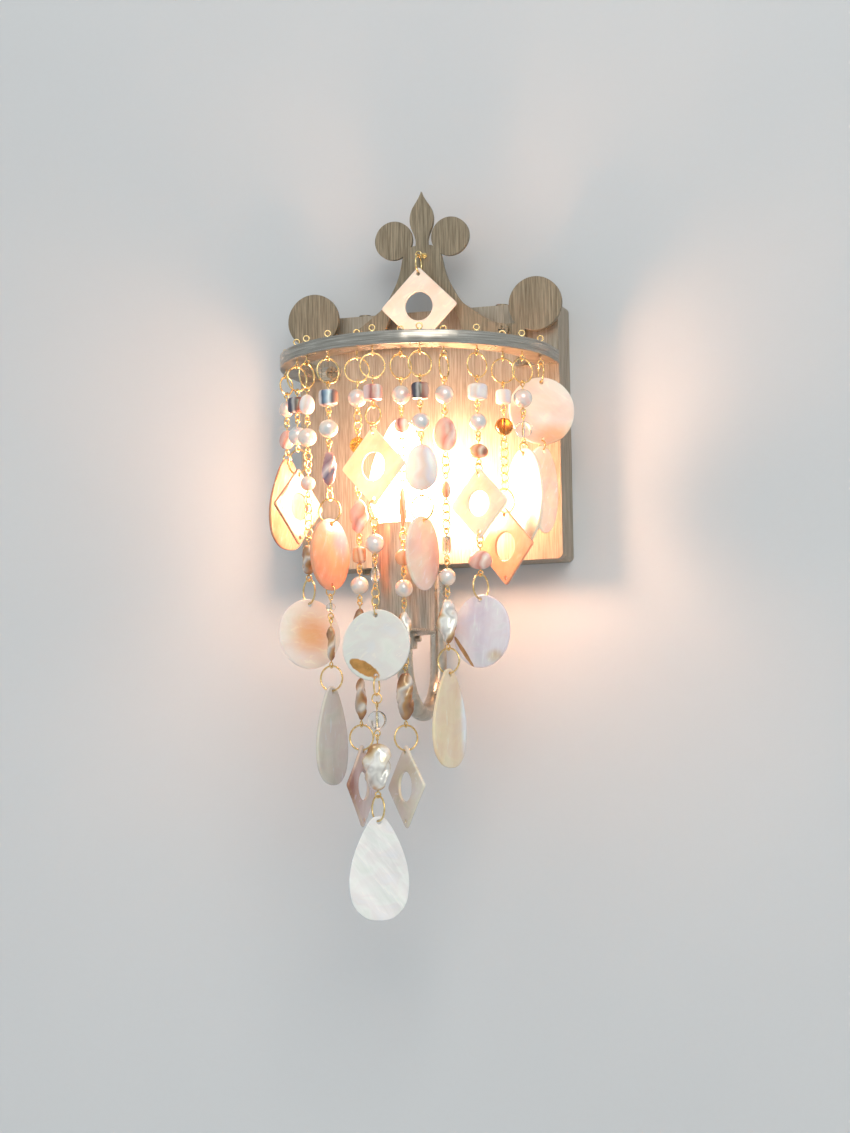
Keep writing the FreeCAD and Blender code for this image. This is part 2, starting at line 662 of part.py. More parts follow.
STRANDS = (
    Strand("strand_01", 20.0, FRONT_ROW, (
        small_ring(50), bead("egg", 8.0, 9.0), bead("egg", 8.5, 10.5, 5.0),
        link(-35), plate("drop", 32.0, 50.0, 55))),
    Strand("strand_02", 44.1, FRONT_ROW, (
        ring(40), BARREL, PEARL,
        ring(-38), plate("diamond", 40.0, 42.0, 52))),
    Strand("strand_03", 53.0, FRONT_ROW, (
        ring(55), bead("egg", 8.4, 11.0), PEARL, *links(2), bead("round", 8.0), *links(5),
        bead("egg", 9.5, 16.0), ring(-60), plate("oval", 36.4, 37.0, 30))),
    Strand("strand_04", 67.1, FRONT_ROW, (
        ring(30), BARREL, PEARL, bead("egg", 9.5, 18.3, 8.5), link(56),
        ring(-30), plate("oval", 38.0, 38.2, 60),
        link(-30), bead("round", 5.0), bead("egg", 6.5, 18.5, 5.5),
        ring(-28), plate("drop", 32.0, 51.5, 62))),
    Strand("strand_05", 78.4, BACK_ROW, (
        ring(5), PEARL, *links(2), GOLD_BALL, *links(4), NUGGET, bead("barrel", 6.8, 8.3),
        bead("round", 9.6), bead("egg", 7.8, 20.8, 7.0), *links(2), bead("egg", 8.5, 22.0, 7.5),
        ring(-20), plate("diamond", 42.0, 43.8, 70))),
    Strand("strand_06", 89.0, FRONT_ROW, (
        ring(4), BARREL, small_ring(-36), link(54), plate("diamond", 42.0, 42.7, -36),
        small_ring(54), link(-36), PEARL, CRYSTAL, *links(2), link(74), plate("oval", 37.0, 37.3, -16),
        small_ring(74), link(-16), bead("round", 9.8), bead("egg", 19.6, 24.4, 8.6),
        ring(-60), plate("drop", 32.0, 53.4, 12))),
    Strand("strand_07", 100.2, BACK_ROW, (
        ring(32), PEARL, bead("round", 8.3), *links(5), bead("egg", 5.0, 20.8, 4.0), link(45),
        bead("round", 8.8), bead("round", 9.6), bead("egg", 9.0, 20.6, 8.0), link(45),
        bead("egg", 12.5, 24.6, 9.0), ring(26), plate("diamond", 43.4, 44.0, -64))),
    Strand("strand_08", 109.0, FRONT_ROW, (
        ring(22), bead("barrel", 9.4, 8.9), bead("round", 9.4), bead("egg", 17.7, 24.4, 7.0),
        ring(-28), plate("oval", 35.4, 39.0, 62))),
    Strand("strand_09", 120.3, BACK_ROW, (
        ring(68), PEARL, NUGGET, *links(2), bead("egg", 5.0, 9.0), *links(3), bead("barrel", 4.8, 9.8),
        bead("round", 9.0), LONG_NUGGET, ring(-33), plate("drop", 32.0, 51.5, 57))),
    Strand("strand_10", 133.5, FRONT_ROW, (
        ring(38), BARREL, bead("round", 9.0), bead("egg", 10.4, 7.6),
        link(50), plate("diamond", 39.0, 38.4, -40), link(50), bead("egg", 12.5, 10.0, 7.0),
        ring(52), plate("oval", 36.4, 38.5, -38))),
    Strand("strand_11", 152.0, BACK_ROW, (
        ring(20), bead("barrel", 8.5, 8.0), bead("round", 9.6), *links(6),
        ring(42), plate("diamond", 42.0, 42.0, -48))),
    Strand("strand_12", 157.9, FRONT_ROW, (
        ring(34), PEARL, bead("egg", 9.4, 9.0),
        link(32), plate("oval", 34.0, 51.5, -58))),
    Strand("strand_13", 173.2, FRONT_ROW, (
        small_ring(-76), plate("oval", 36.5, 37.0, 14),
        link(-55), plate("oval", 34.0, 47.0, 61))),
)


@dataclass
class Hang:
    """Where the next piece hangs: the bearing surface, and the yaw of what it hangs in."""
    bearing: float
    yaw: float
    in_hole: bool


def ring_size(kind):
    """Outside radius and wire of a ring."""
    sizes = {"large": (RING_R, RING_WIRE), "small": (SMALL_RING_R, RING_WIRE), "link": (LOOP_R, WIRE)}
    return sizes[kind]


def bow(inner_r):
    """How far a ring's wire bows across the thickness of a plate."""
    return inner_r - math.sqrt(inner_r ** 2 - (SHELL_T / 2.0) ** 2)


def hang_wire(hang, outer_r, wire):
    """Middle height of a ring or an eye hung on the last piece."""
    if hang.in_hole:
        top_wire = hang.bearing + wire / 2.0 + LINK_GAP + bow(outer_r - wire)
    else:
        top_wire = hang.bearing + wire / 2.0 + LINK_GAP
    return top_wire - (outer_r - wire / 2.0)


def eye_pin(top_eye, bottom_eye, yaw_top, yaw_bottom):
    """A pin with an eye at each end, one solid."""
    upper = moved(turned(wire_ring(EYE_R, WIRE), yaw_top), 0, 0, top_eye)
    lower = moved(turned(wire_ring(EYE_R, WIRE), yaw_bottom), 0, 0, bottom_eye)
    start = bottom_eye + EYE_R - WIRE * 0.75
    stem = rod(WIRE / 2.0, top_eye - EYE_R + WIRE * 0.75 - start, 0, 0, start)
    return joined([upper, lower, stem])


def build_strand(strand):
    """Every solid of one strand about its own plumb line: wires, beads and plates."""
    wires, beads, plates = [], [], []
    first = strand.pieces[0]
    eye = HOOP_BOTTOM - PIN_DROP - EYE_R
    hang = Hang(eye - EYE_R + WIRE, first.yaw + 90.0, False)
    for index, piece in enumerate(strand.pieces):
        after = strand.pieces[index + 1] if index + 1 < len(strand.pieces) else None
        if piece.sort == "ring":
            outer_r, wire = ring_size(piece.kind)
            middle = hang_wire(hang, outer_r, wire)
            wires.append(moved(turned(wire_ring(outer_r, wire), piece.yaw), 0, 0, middle))
            hang = Hang(middle - outer_r + wire, piece.yaw, False)
        elif piece.sort == "bead":
            top_eye = hang_wire(hang, EYE_R, WIRE)
            yaw_top = hang.yaw + 90.0
            middle = top_eye - EYE_R - NECK - piece.height / 2.0
            bottom_eye = middle - piece.height / 2.0 - NECK - EYE_R
            yaw_bottom = after.yaw + 90.0 if after and after.sort == "ring" else yaw_top + 90.0
            wires.append(eye_pin(top_eye, bottom_eye, yaw_top, yaw_bottom))
            solid = bead_solid(piece.kind, piece.width, piece.height, piece.depth)
            beads.append(moved(turned(solid, BEAD_YAW), 0, 0, middle - NECK * 0.8))
            hang = Hang(bottom_eye - EYE_R + WIRE, yaw_bottom, False)
        else:
            solid, hole = shell_solid(piece.kind, piece.width, piece.height, after is not None)
            above = strand.pieces[index - 1]
            outer_r, wire = ring_size(above.kind)
            hole_z = hang.bearing + LINK_GAP + bow(outer_r - wire) - SHELL_HOLE_R
            middle = hole_z - hole
            plates.append(moved(turned(solid, piece.yaw), 0, 0, middle))
            hang = Hang(middle - hole - SHELL_HOLE_R, piece.yaw, True)
    return wires, beads, plates


def eye_pins():
    """The fixed wire pins: one through the hoop for each strand, one through the crown."""
    solids = []
    for strand in STRANDS:
        x, y = hook_point(strand)
        low = HOOP_BOTTOM - PIN_DROP - EYE_R
        high = HOOP_TOP + PIN_RISE + EYE_R - WIRE * 0.3
        yaw = strand.pieces[0].yaw + 90.0
        pin = eye_pin(high, low, FACING, yaw)
        collar = rod(1.3, PIN_RISE, 0, 0, HOOP_TOP)
        solids.append(moved(joined([pin, collar]), x, y, 0))
    solids.append(crown_hook())
    return group(solids)


def crown_hook_place():
    """Where the pendant's ring hangs in the crown's hook: (y, z of the hook's eye)."""
    front = FACE_Y - CROWN_STANDOFF - CROWN_SHEET
    return front - SMALL_RING_R - 0.4, CROWN_RING_Z


def crown_hook():
    """The wire hook riveted through the crown."""
    y, z = crown_hook_place()
    front = FACE_Y - CROWN_STANDOFF - CROWN_SHEET
    eye = moved(wire_ring(EYE_R, WIRE), 0, y, z)
    shank = rod(WIRE / 2.0, front + CROWN_SHEET + 0.8 - y - 0.2, EYE_R - WIRE / 2.0, y + 0.2, z, "y")
    shoulder = rod(1.6, 0.8, EYE_R - WIRE / 2.0, front - 0.8, z, "y")
    rivet = rod(1.6, 0.8, EYE_R - WIRE / 2.0, front + CROWN_SHEET, z, "y")
    return joined([eye, shank, shoulder, rivet])


def crown_pendant():
    """The pendant's ring and the square plate hung from it."""
    y, z = crown_hook_place()
    wire_middle = z - EYE_R + WIRE + RING_WIRE / 2.0 + LINK_GAP
    middle = wire_middle - (SMALL_RING_R - RING_WIRE / 2.0)
    hanger = moved(turned(wire_ring(SMALL_RING_R, RING_WIRE), 90.0), 0, y, middle)
    solid, hole = shell_solid("diamond", 44.6, 44.6, False)
    hole_z = middle - SMALL_RING_R + RING_WIRE + LINK_GAP + bow(SMALL_RING_R - RING_WIRE) - SHELL_HOLE_R
    return hanger, moved(solid, 0, y, hole_z - hole)


def save_strands():
    """Write the nodes of every strand."""
    for strand in STRANDS:
        x, y = hook_point(strand)
        wires, beads, plates = build_strand(strand)
        for solids, suffix in ((wires, "wires"), (beads, "beads"), (plates, "plates")):
            if solids:
                save(group([moved(s, x, y, 0) for s in solids]), "%s_%s" % (strand.name, suffix))


def main():
    """Build and write every node."""
    os.makedirs("parts", exist_ok=True)
    save(wall_bracket(), "wall_bracket")
    save(back_box(), "back_box")
    save(fixing_screws(), "fixing_screws")
    save(hoop_tube(), "hoop_tube")
    save(hoop_end_plates(), "hoop_end_plates")
    save(crown_plate(), "crown_plate")
    save(crown_spacers(), "crown_spacers")
    save(arm_tube(), "arm_tube")
    save(arm_nuts(), "arm_nuts")
    save(lamp_cup(), "lamp_cup")
    save(cup_ferrule(), "cup_ferrule")
    save(lamp_holder(), "lamp_holder")
    save(holder_contacts(), "holder_contacts")
    save(bulb_cap(), "bulb_cap")
    save(bulb_glass(), "bulb_glass")
    save(bulb_filament(), "bulb_filament")
    save(terminal_block(), "terminal_block")
    save(lamp_lead(), "lamp_lead")
    save(eye_pins(), "eye_pins")
    hanger, diamond = crown_pendant()
    save(hanger, "pendant_ring")
    save(diamond, "pendant_plate")
    save_strands()


main()
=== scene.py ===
"""Looks of the shell wall sconce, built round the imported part.

The part's own nodes keep their places. Sheet metal, tube and wire keep their
meshes and get a finish; the beads and shell plates are rebuilt here as fuller
forms, each where its solid hangs.
"""

import logging
import math
from collections.abc import Callable
from dataclasses import dataclass, field
from enum import Enum

import bpy
import numpy as np
from mathutils import Matrix


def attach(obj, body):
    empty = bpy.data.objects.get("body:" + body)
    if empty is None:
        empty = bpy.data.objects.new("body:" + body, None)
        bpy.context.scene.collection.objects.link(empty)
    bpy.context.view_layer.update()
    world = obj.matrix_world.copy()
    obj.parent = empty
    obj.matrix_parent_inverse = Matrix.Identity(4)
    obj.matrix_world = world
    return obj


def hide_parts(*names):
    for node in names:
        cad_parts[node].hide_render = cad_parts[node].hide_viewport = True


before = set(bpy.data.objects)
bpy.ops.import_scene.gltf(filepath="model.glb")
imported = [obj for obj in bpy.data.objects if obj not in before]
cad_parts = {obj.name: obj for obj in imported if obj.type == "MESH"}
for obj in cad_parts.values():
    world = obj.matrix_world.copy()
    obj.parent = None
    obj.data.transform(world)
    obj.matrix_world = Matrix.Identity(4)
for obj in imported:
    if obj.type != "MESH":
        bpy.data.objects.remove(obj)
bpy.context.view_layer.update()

LOG = logging.getLogger("sconce")
MM = 0.001
UPWARD = np.array([0.0, 0.0, 1.0])
SHARP_ANGLE = math.radians(50.0)
GLASS_IOR = 1.52
SHELL_IOR = 1.6
SOLID_GAP = 0.05 * MM
HOOP_STEPS = 22
WIRE_STEPS = 6


# --------------------------------------------------------------------------
# Small helpers
# --------------------------------------------------------------------------

def linear(hex_colour: str) -> tuple[float, float, float, float]:
    """Turn an sRGB hex colour into linear red, green, blue and alpha.

    Args:
        hex_colour: Six hex digits, with or without a leading hash.

    Returns:
        Four floats for a colour socket.
    """
    digits = hex_colour.lstrip("#")
    srgb = np.array([int(digits[i:i + 2], 16) for i in (0, 2, 4)], float) / 255.0
    low = srgb / 12.92
    high = ((srgb + 0.055) / 1.055) ** 2.4
    red, green, blue = np.where(srgb <= 0.04045, low, high)
    return float(red), float(green), float(blue), 1.0


def darkened(colour: tuple, share: float) -> tuple[float, float, float, float]:
    """A linear colour with only a share of its light.

    Args:
        colour: Linear red, green, blue and alpha.
        share: How much of the light is left.

    Returns:
        The darker colour.
    """
    red, green, blue, alpha = colour
    return share * red, share * green, share * blue, alpha


def add(tree: bpy.types.NodeTree, kind: str, inputs: dict | None = None, **settings) -> bpy.types.Node:
    """Add a node, set its properties, and fill or link its sockets.

    Args:
        tree: The node tree that gets the node.
        kind: The node's type name.
        inputs: Socket name or number to a value, or to an output to link from.
        **settings: Properties of the node itself.

    Returns:
        The new node.
    """
    node = tree.nodes.new(kind)
    for name, value in settings.items():
        setattr(node, name, value)
    for socket, value in (inputs or {}).items():
        if isinstance(value, bpy.types.NodeSocket):
            tree.links.new(value, node.inputs[socket])
        else:
            node.inputs[socket].default_value = value
    return node


def ramp(tree: bpy.types.NodeTree, source: bpy.types.NodeSocket,
         stops: list[tuple[float, tuple]]) -> bpy.types.NodeSocket:
    """A colour ramp over a factor.

    Args:
        tree: The node tree.
        source: The factor.
        stops: Positions from 0 to 1 with their linear colours.

    Returns:
        The ramp's colour output.
    """
    node = add(tree, "ShaderNodeValToRGB", {"Fac": source})
    elements = node.color_ramp.elements
    elements[0].position, elements[0].color = stops[0]
    elements[1].position, elements[1].color = stops[-1]
    for position, colour in stops[1:-1]:
        elements.new(position).color = colour
    return node.outputs["Color"]


def blank_material(name: str) -> tuple[bpy.types.Material, bpy.types.NodeTree, bpy.types.Node]:
    """A material that holds only a Principled shader and its output.

    Args:
        name: The material's name.

    Returns:
        The material, its node tree and its shader node.
    """
    material = bpy.data.materials.new(name)
    material.use_nodes = True
    tree = material.node_tree
    tree.nodes.clear()
    shader = add(tree, "ShaderNodeBsdfPrincipled")
    add(tree, "ShaderNodeOutputMaterial", {"Surface": shader.outputs["BSDF"]})
    return material, tree, shader


def set_sockets(shader: bpy.types.Node, **values: float) -> None:
    """Set constant sockets of a shader; an underscore in a name stands for a space.

    Args:
        shader: The shader node.
        **values: Socket names with their values.
    """
    for name, value in values.items():
        shader.inputs[name.replace("_", " ")].default_value = value


def object_pattern(tree: bpy.types.NodeTree, scale: tuple[float, float, float],
                   turn: tuple[float, float, float] = (0.0, 0.0, 0.0)) -> bpy.types.NodeSocket:
    """Object coordinates, scaled and turned.

    Args:
        tree: The node tree.
        scale: Pattern units per metre along X, Y and Z.
        turn: Rotation in degrees.

    Returns:
        The vector output.
    """
    place = add(tree, "ShaderNodeTexCoord").outputs["Object"]
    mapping = add(tree, "ShaderNodeMapping", {
        "Vector": place, "Scale": scale, "Rotation": tuple(math.radians(a) for a in turn)})
    return mapping.outputs["Vector"]


def noise(tree: bpy.types.NodeTree, vector: bpy.types.NodeSocket, detail: float,
          scale: float = 1.0, **sockets: float) -> bpy.types.NodeSocket:
    """A cloudy noise from 0 to 1.

    Args:
        tree: The node tree.
        vector: The coordinates that it runs over.
        detail: How many finer layers it has.
        scale: Pattern units per unit of the coordinates.
        **sockets: Roughness or Distortion, where they aren't Blender's own.

    Returns:
        The noise.
    """
    inputs = {"Vector": vector, "Scale": scale, "Detail": detail, **sockets}
    return add(tree, "ShaderNodeTexNoise", inputs).outputs["Fac"]


def remap(tree: bpy.types.NodeTree, value: bpy.types.NodeSocket, low: float, high: float,
          start: float = 0.0, end: float = 1.0, **settings: str) -> bpy.types.NodeSocket:
    """Carry a value from one range to another.

    Args:
        tree: The node tree.
        value: The value.
        low: The result at the start of the value's range.
        high: The result at its end.
        start: Where the value's range starts.
        end: Where it ends.
        **settings: Properties of the node, such as its interpolation.

    Returns:
        The result.
    """
    inputs = {"Value": value, "From Min": start, "From Max": end, "To Min": low, "To Max": high}
    return add(tree, "ShaderNodeMapRange", inputs, **settings).outputs["Result"]


def blend(tree: bpy.types.NodeTree, share: bpy.types.NodeSocket | float,
          first: bpy.types.NodeSocket, second: bpy.types.NodeSocket | tuple,
          **settings: str) -> bpy.types.NodeSocket:
    """Mix two colours.

    Args:
        tree: The node tree.
        share: How much of the second colour there is.
        first: The first colour.
        second: The second colour.
        **settings: Properties of the node, such as its blend type.

    Returns:
        The mixed colour.
    """
    inputs = {"Factor": share, "A": first, "B": second}
    return add(tree, "ShaderNodeMix", inputs, data_type="RGBA", **settings).outputs[2]


def emboss(tree: bpy.types.NodeTree, shader: bpy.types.Node, height: bpy.types.NodeSocket,
           strength: float, depth_mm: float) -> None:
    """Give a shader the fine relief of a pattern.

    Args:
        tree: The node tree.
        shader: The shader.
        height: The pattern.
        strength: How much of the relief shows.
        depth_mm: The relief's depth.
    """
    bump = add(tree, "ShaderNodeBump", {
        "Height": height, "Strength": strength, "Distance": depth_mm * MM})
    tree.links.new(bump.outputs["Normal"], shader.inputs["Normal"])


def local_place(tree: bpy.types.NodeTree, uv: bpy.types.NodeSocket, at: tuple[float, float],
                turn: float = 0.0) -> bpy.types.NodeSocket:
    """Coordinates that are measured from one place of a plate, and turned there.

    Args:
        tree: The node tree.
        uv: The plate's coordinates.
        at: The place.
        turn: The turn in degrees.

    Returns:
        The coordinates.
    """
    centred = add(tree, "ShaderNodeVectorMath", {0: uv, 1: (at[0], at[1], 0.0)},
                  operation="SUBTRACT").outputs[0]
    return add(tree, "ShaderNodeMapping", {
        "Vector": centred, "Rotation": (0.0, 0.0, math.radians(turn))}).outputs["Vector"]


def distance_in(tree: bpy.types.NodeTree, place: bpy.types.NodeSocket,
                half_size: tuple[float, float]) -> bpy.types.NodeSocket:
    """How far a point is from the middle of an ellipse, where the ellipse itself is at 1.

    Args:
        tree: The node tree.
        place: Coordinates from the ellipse's middle.
        half_size: Half its width and half its height.

    Returns:
        The distance.
    """
    scale = (1.0 / half_size[0], 1.0 / half_size[1], 1.0)
    sized = add(tree, "ShaderNodeMapping", {"Vector": place, "Scale": scale}).outputs["Vector"]
    return add(tree, "ShaderNodeVectorMath", {0: sized}, operation="LENGTH").outputs["Value"]


# --------------------------------------------------------------------------
# Finishes
# --------------------------------------------------------------------------

class Grain(Enum):
    """Which way the brush lines of a metal run: pattern lines per metre on X, Y and Z."""

    UPRIGHT = (1500.0, 1500.0, 60.0)
    ALONG_HOOP = (50.0, 50.0, 2200.0)


@dataclass(frozen=True)
class BrushedPlate:
    """Plated sheet steel, brushed with a coarse belt: fine parallel light and dark lines.

    Attributes:
        name: The material's name.
        dark: Colour of the deepest lines.
        middle: Colour of most of the sheet.
        light: Colour of the brightest lines.
        grain: Which way the lines run.
        roughness: Its middle roughness.
        depth_mm: Depth of the lines.
        metal: How metallic the plating is.
        broad_share: How much of the pattern the broad lines are.
        broad_scale: How dense the broad lines are against the fine ones.
    """

    name: str
    dark: str
    middle: str
    light: str
    grain: Grain
    roughness: float = 0.36
    depth_mm: float = 0.02
    metal: float = 1.0
    broad_share: float = 0.22
    broad_scale: float = 0.16

    def material(self) -> bpy.types.Material:
        """Build the material: a stretched noise is both the streak colour and the scratch bump."""
        material, tree, shader = blank_material(self.name)
        broad_lines = tuple(value * self.broad_scale for value in self.grain.value)
        fine = noise(tree, object_pattern(tree, self.grain.value), 4.0, Roughness=0.62)
        broad = noise(tree, object_pattern(tree, broad_lines), 2.0)
        lines = add(tree, "ShaderNodeMix", {
            "Factor": self.broad_share, "A": fine, "B": broad}).outputs[0]
        colour = ramp(tree, lines, [
            (0.32, linear(self.dark)), (0.5, linear(self.middle)), (0.68, linear(self.light))])
        tree.links.new(colour, shader.inputs["Base Color"])
        gloss = remap(tree, lines, self.roughness + 0.07, self.roughness - 0.05, 0.3, 0.7)
        tree.links.new(gloss, shader.inputs["Roughness"])
        emboss(tree, shader, fine, 0.45, self.depth_mm)
        set_sockets(shader, Metallic=self.metal)
        return material


@dataclass(frozen=True)
class PolishedMetal:
    """Drawn wire, turned or pressed metal with a plated skin: smooth, with faint handling marks.

    Attributes:
        name: The material's name.
        colour: Colour of the clean skin.
        worn: Colour of the marks.
        roughness: Its middle roughness.
        mark_mm: Size of a mark.
    """

    name: str
    colour: str
    worn: str
    roughness: float
    mark_mm: float = 1.4

    def material(self) -> bpy.types.Material:
        """Build the material: soft cloudy marks vary the tint and the gloss."""
        material, tree, shader = blank_material(self.name)
        per_metre = 1.0 / (self.mark_mm * MM)
        marks = noise(tree, object_pattern(tree, (per_metre,) * 3), 3.0)
        colour = ramp(tree, marks, [(0.3, linear(self.worn)), (0.62, linear(self.colour))])
        tree.links.new(colour, shader.inputs["Base Color"])
        gloss = remap(tree, marks, self.roughness + 0.1, self.roughness - 0.04)
        tree.links.new(gloss, shader.inputs["Roughness"])
        set_sockets(shader, Metallic=1.0)
        return material


@dataclass(frozen=True)
class Nacre:
    """Cut and polished mother-of-pearl: soft colour bands, a pearly gloss, light shining through.

    Places and sizes are in the plate's own coordinates, from -1 to 1 both ways.

    Attributes:
        name: The material's name.
        base: Colour of the first bands.
        band: Colour of the bands between them.
        cloud: Colour that wells up in one place, if any.
        cloud_at: Middle of the cloud.
        cloud_size: Half its width and height.
        streak: Colour of the fine threads.
        streaks: How strong the threads are.
        patch: Colour of the patch of outer skin, if any.
        patch_at: Middle of the patch.
        patch_size: Half its width and height.
        patch_turn: Its turn in degrees.
        band_turn: Turn of the bands in degrees.
        band_stretch: How far the bands are drawn out both ways.
        glow: How much light goes through the plate.
        ridge_mm: Depth of the growth ridges.
        seed: Shift of the whole pattern.
    """

    name: str
    base: str
    band: str
    cloud: str = ""
    cloud_at: tuple[float, float] = (0.0, 0.0)
    cloud_size: tuple[float, float] = (0.7, 0.7)
    streak: str = "#ffffff"
    streaks: float = 0.18
    patch: str = ""
    patch_at: tuple[float, float] = (-0.3, -0.6)
    patch_size: tuple[float, float] = (0.5, 0.3)
    patch_turn: float = 20.0
    band_turn: float = 35.0
    band_stretch: tuple[float, float] = (0.7, 1.8)
    glow: float = 0.55
    ridge_mm: float = 0.35
    seed: float = 0.0

    def material(self) -> bpy.types.Material:
        """Build the material from the plate's own UV, which runs from -1 to 1 both ways."""
        material, tree, shader = blank_material(self.name)
        uv = add(tree, "ShaderNodeTexCoord").outputs["UV"]
        turned = add(tree, "ShaderNodeMapping", {
            "Vector": uv, "Location": (self.seed, self.seed * 0.7, 0.0),
            "Rotation": (0.0, 0.0, math.radians(self.band_turn)),
            "Scale": (1.0 / self.band_stretch[0], 1.0 / self.band_stretch[1], 1.0)},
            vector_type="TEXTURE").outputs["Vector"]
        bands = noise(tree, turned, 1.5, 0.8, Roughness=0.45, Distortion=0.4)
        colour = ramp(tree, bands, [(0.32, linear(self.base)), (0.68, linear(self.band))])
        if self.cloud:
            colour = self._clouded(tree, uv, colour)
        threads = noise(tree, turned, 4.0, 3.4, Roughness=0.55, Distortion=0.5)
        thread_share = remap(tree, threads, 0.0, self.streaks, 0.45, 0.75)
        # painted sheen: rose and green clouds stand for nacre's iridescent play of light
        colour = self._painted_sheen(tree, blend(tree, thread_share, colour, linear(self.streak)))
        if self.patch:
            colour = self._patched(tree, uv, colour)
        tree.links.new(colour, shader.inputs["Base Color"])
        tree.links.new(colour, shader.inputs["Subsurface Radius"])
        tree.links.new(remap(tree, threads, 0.16, 0.34), shader.inputs["Roughness"])
        emboss(tree, shader, threads, 0.3, self.ridge_mm)
        set_sockets(shader, Subsurface_Weight=self.glow, Subsurface_Scale=3.2 * MM,
                    Coat_Weight=0.3, Coat_Roughness=0.08, IOR=SHELL_IOR,
                    Thin_Film_Thickness=430.0, Thin_Film_IOR=1.36)
        return material

    def _painted_sheen(self, tree: bpy.types.NodeTree, colour: bpy.types.NodeSocket) -> bpy.types.NodeSocket:
        """Lay faint rose and green clouds over the colour: a painted sheen in place of the rainbow play
        of light that nacre shows.

        Args:
            tree: The node tree.
            colour: The colour under the clouds.

        Returns:
            The clouded colour.
        """
        clouds = noise(tree, object_pattern(tree, (70.0, 70.0, 95.0)), 2.0, Distortion=0.6)
        tint = ramp(tree, clouds, [
            (0.3, linear("#e9f3ea")), (0.45, linear("#ffffff")), (0.58, linear("#f8e8ee")),
            (0.7, linear("#f3edff"))])
        return blend(tree, 0.35, colour, tint, blend_type="MULTIPLY")

    def _clouded(self, tree: bpy.types.NodeTree, uv: bpy.types.NodeSocket,
                 colour: bpy.types.NodeSocket) -> bpy.types.NodeSocket:
        """Let a second colour well up softly in one place, as the shell's layers are cut there.

        Args:
            tree: The node tree.
            uv: The plate's coordinates.
            colour: The colour round the cloud.

        Returns:
            The colour with the cloud.
        """
        far = distance_in(tree, local_place(tree, uv, self.cloud_at), self.cloud_size)
        share = remap(tree, far, 0.0, 1.0, 1.3, 0.2, interpolation_type="SMOOTHSTEP")
        return blend(tree, share, colour, linear(self.cloud))

    def _patched(self, tree: bpy.types.NodeTree, uv: bpy.types.NodeSocket,
                 colour: bpy.types.NodeSocket) -> bpy.types.NodeSocket:
        """Paint the patch of outer shell skin that the cutter left on the plate.

        Args:
            tree: The node tree.
            uv: The plate's coordinates.
            colour: The colour round the patch.

        Returns:
            The colour with the patch.
        """
        place = local_place(tree, uv, self.patch_at, self.patch_turn)
        far = distance_in(tree, place, self.patch_size)
        ragged = noise(tree, place, 3.0, 4.5)
        edge = add(tree, "ShaderNodeMath", {0: ragged, 1: 0.5}, operation="MULTIPLY").outputs[0]
        reach = add(tree, "ShaderNodeMath", {0: far, 1: edge}, operation="ADD").outputs[0]
        inside = remap(tree, reach, 0.0, 1.0, 1.24, 1.12)
        skin = ramp(tree, noise(tree, place, 2.0, 3.5), [
            (0.35, darkened(linear(self.patch), 0.68)), (0.6, linear(self.patch))])
        return blend(tree, inside, colour, skin)


@dataclass(frozen=True)
class BandedShell:
    """Shell cut thick and tumbled: layers of colour slice through the bead like a stone's.

    Attributes:
        name: The material's name.
        stops: Place across the bead from 0 to 1, and colour, of each layer.
        turn: Turn of the layers in degrees.
        waviness: How far a layer wanders, where 1 is half the bead.
        roughness: Its roughness.
        glow: How much light goes through it.
        per_metre: How often a layer wanders.
        lustre: How metallic its polish is.
    """

    name: str
    stops: tuple[tuple[float, str], ...]
    turn: float = 0.0
    waviness: float = 0.35
    roughness: float = 0.14
    glow: float = 0.15
    per_metre: float = 110.0
    lustre: float = 0.0

    def material(self) -> bpy.types.Material:
        """Build the material: layers run across the bead's UV, bent by a noise."""
        material, tree, shader = blank_material(self.name)
        uv = add(tree, "ShaderNodeTexCoord").outputs["UV"]
        turned = add(tree, "ShaderNodeMapping", {
            "Vector": uv, "Rotation": (0.0, 0.0, math.radians(self.turn))}).outputs["Vector"]
        across = add(tree, "ShaderNodeSeparateXYZ", {"Vector": turned}).outputs["X"]
        waves = noise(tree, object_pattern(tree, (self.per_metre,) * 3), 1.5, Distortion=0.3)
        shift = remap(tree, waves, -self.waviness, self.waviness, 0.25, 0.75)
        layer = add(tree, "ShaderNodeMath", {0: across, 1: shift}, operation="ADD").outputs[0]
        colour = ramp(tree, remap(tree, layer, 0.0, 1.0, -1.0, 1.0),
                      [(at, linear(value)) for at, value in self.stops])
        tree.links.new(colour, shader.inputs["Base Color"])
        tree.links.new(colour, shader.inputs["Subsurface Radius"])
        emboss(tree, shader, waves, 0.25, 0.5)
        set_sockets(shader, Roughness=self.roughness, Metallic=self.lustre,
                    Subsurface_Weight=self.glow, Subsurface_Scale=2.0 * MM,
                    Coat_Weight=0.6, Coat_Roughness=0.05,
                    Thin_Film_Thickness=380.0, Thin_Film_IOR=1.36)
        return material


@dataclass(frozen=True)
class PearlCoat:
    """Glass bead dipped in pearl essence: a milky body under a bright, faintly rainbow skin.

    Attributes:
        name: The material's name.
        body: Its main colour.
        cool: Its colour where it is coolest.
        warm: Its colour where it is warmest.
        per_metre: How often the colour changes.
    """

    name: str
    body: str
    cool: str
    warm: str
    per_metre: float = 210.0

    def material(self) -> bpy.types.Material:
        """Build the material: broad clouds of cool and warm white under a clear coat."""
        material, tree, shader = blank_material(self.name)
        clouds = noise(tree, object_pattern(tree, (self.per_metre,) * 3), 1.5, Distortion=0.5)
        colour = ramp(tree, clouds, [
            (0.34, linear(self.cool)), (0.5, linear(self.body)), (0.66, linear(self.warm))])
        tree.links.new(colour, shader.inputs["Base Color"])
        set_sockets(shader, Roughness=0.16, Subsurface_Weight=0.25, Subsurface_Scale=2.5 * MM,
                    Coat_Weight=1.0, Coat_Roughness=0.03, Metallic=0.3,
                    Thin_Film_Thickness=520.0, Thin_Film_IOR=1.4)
        return material


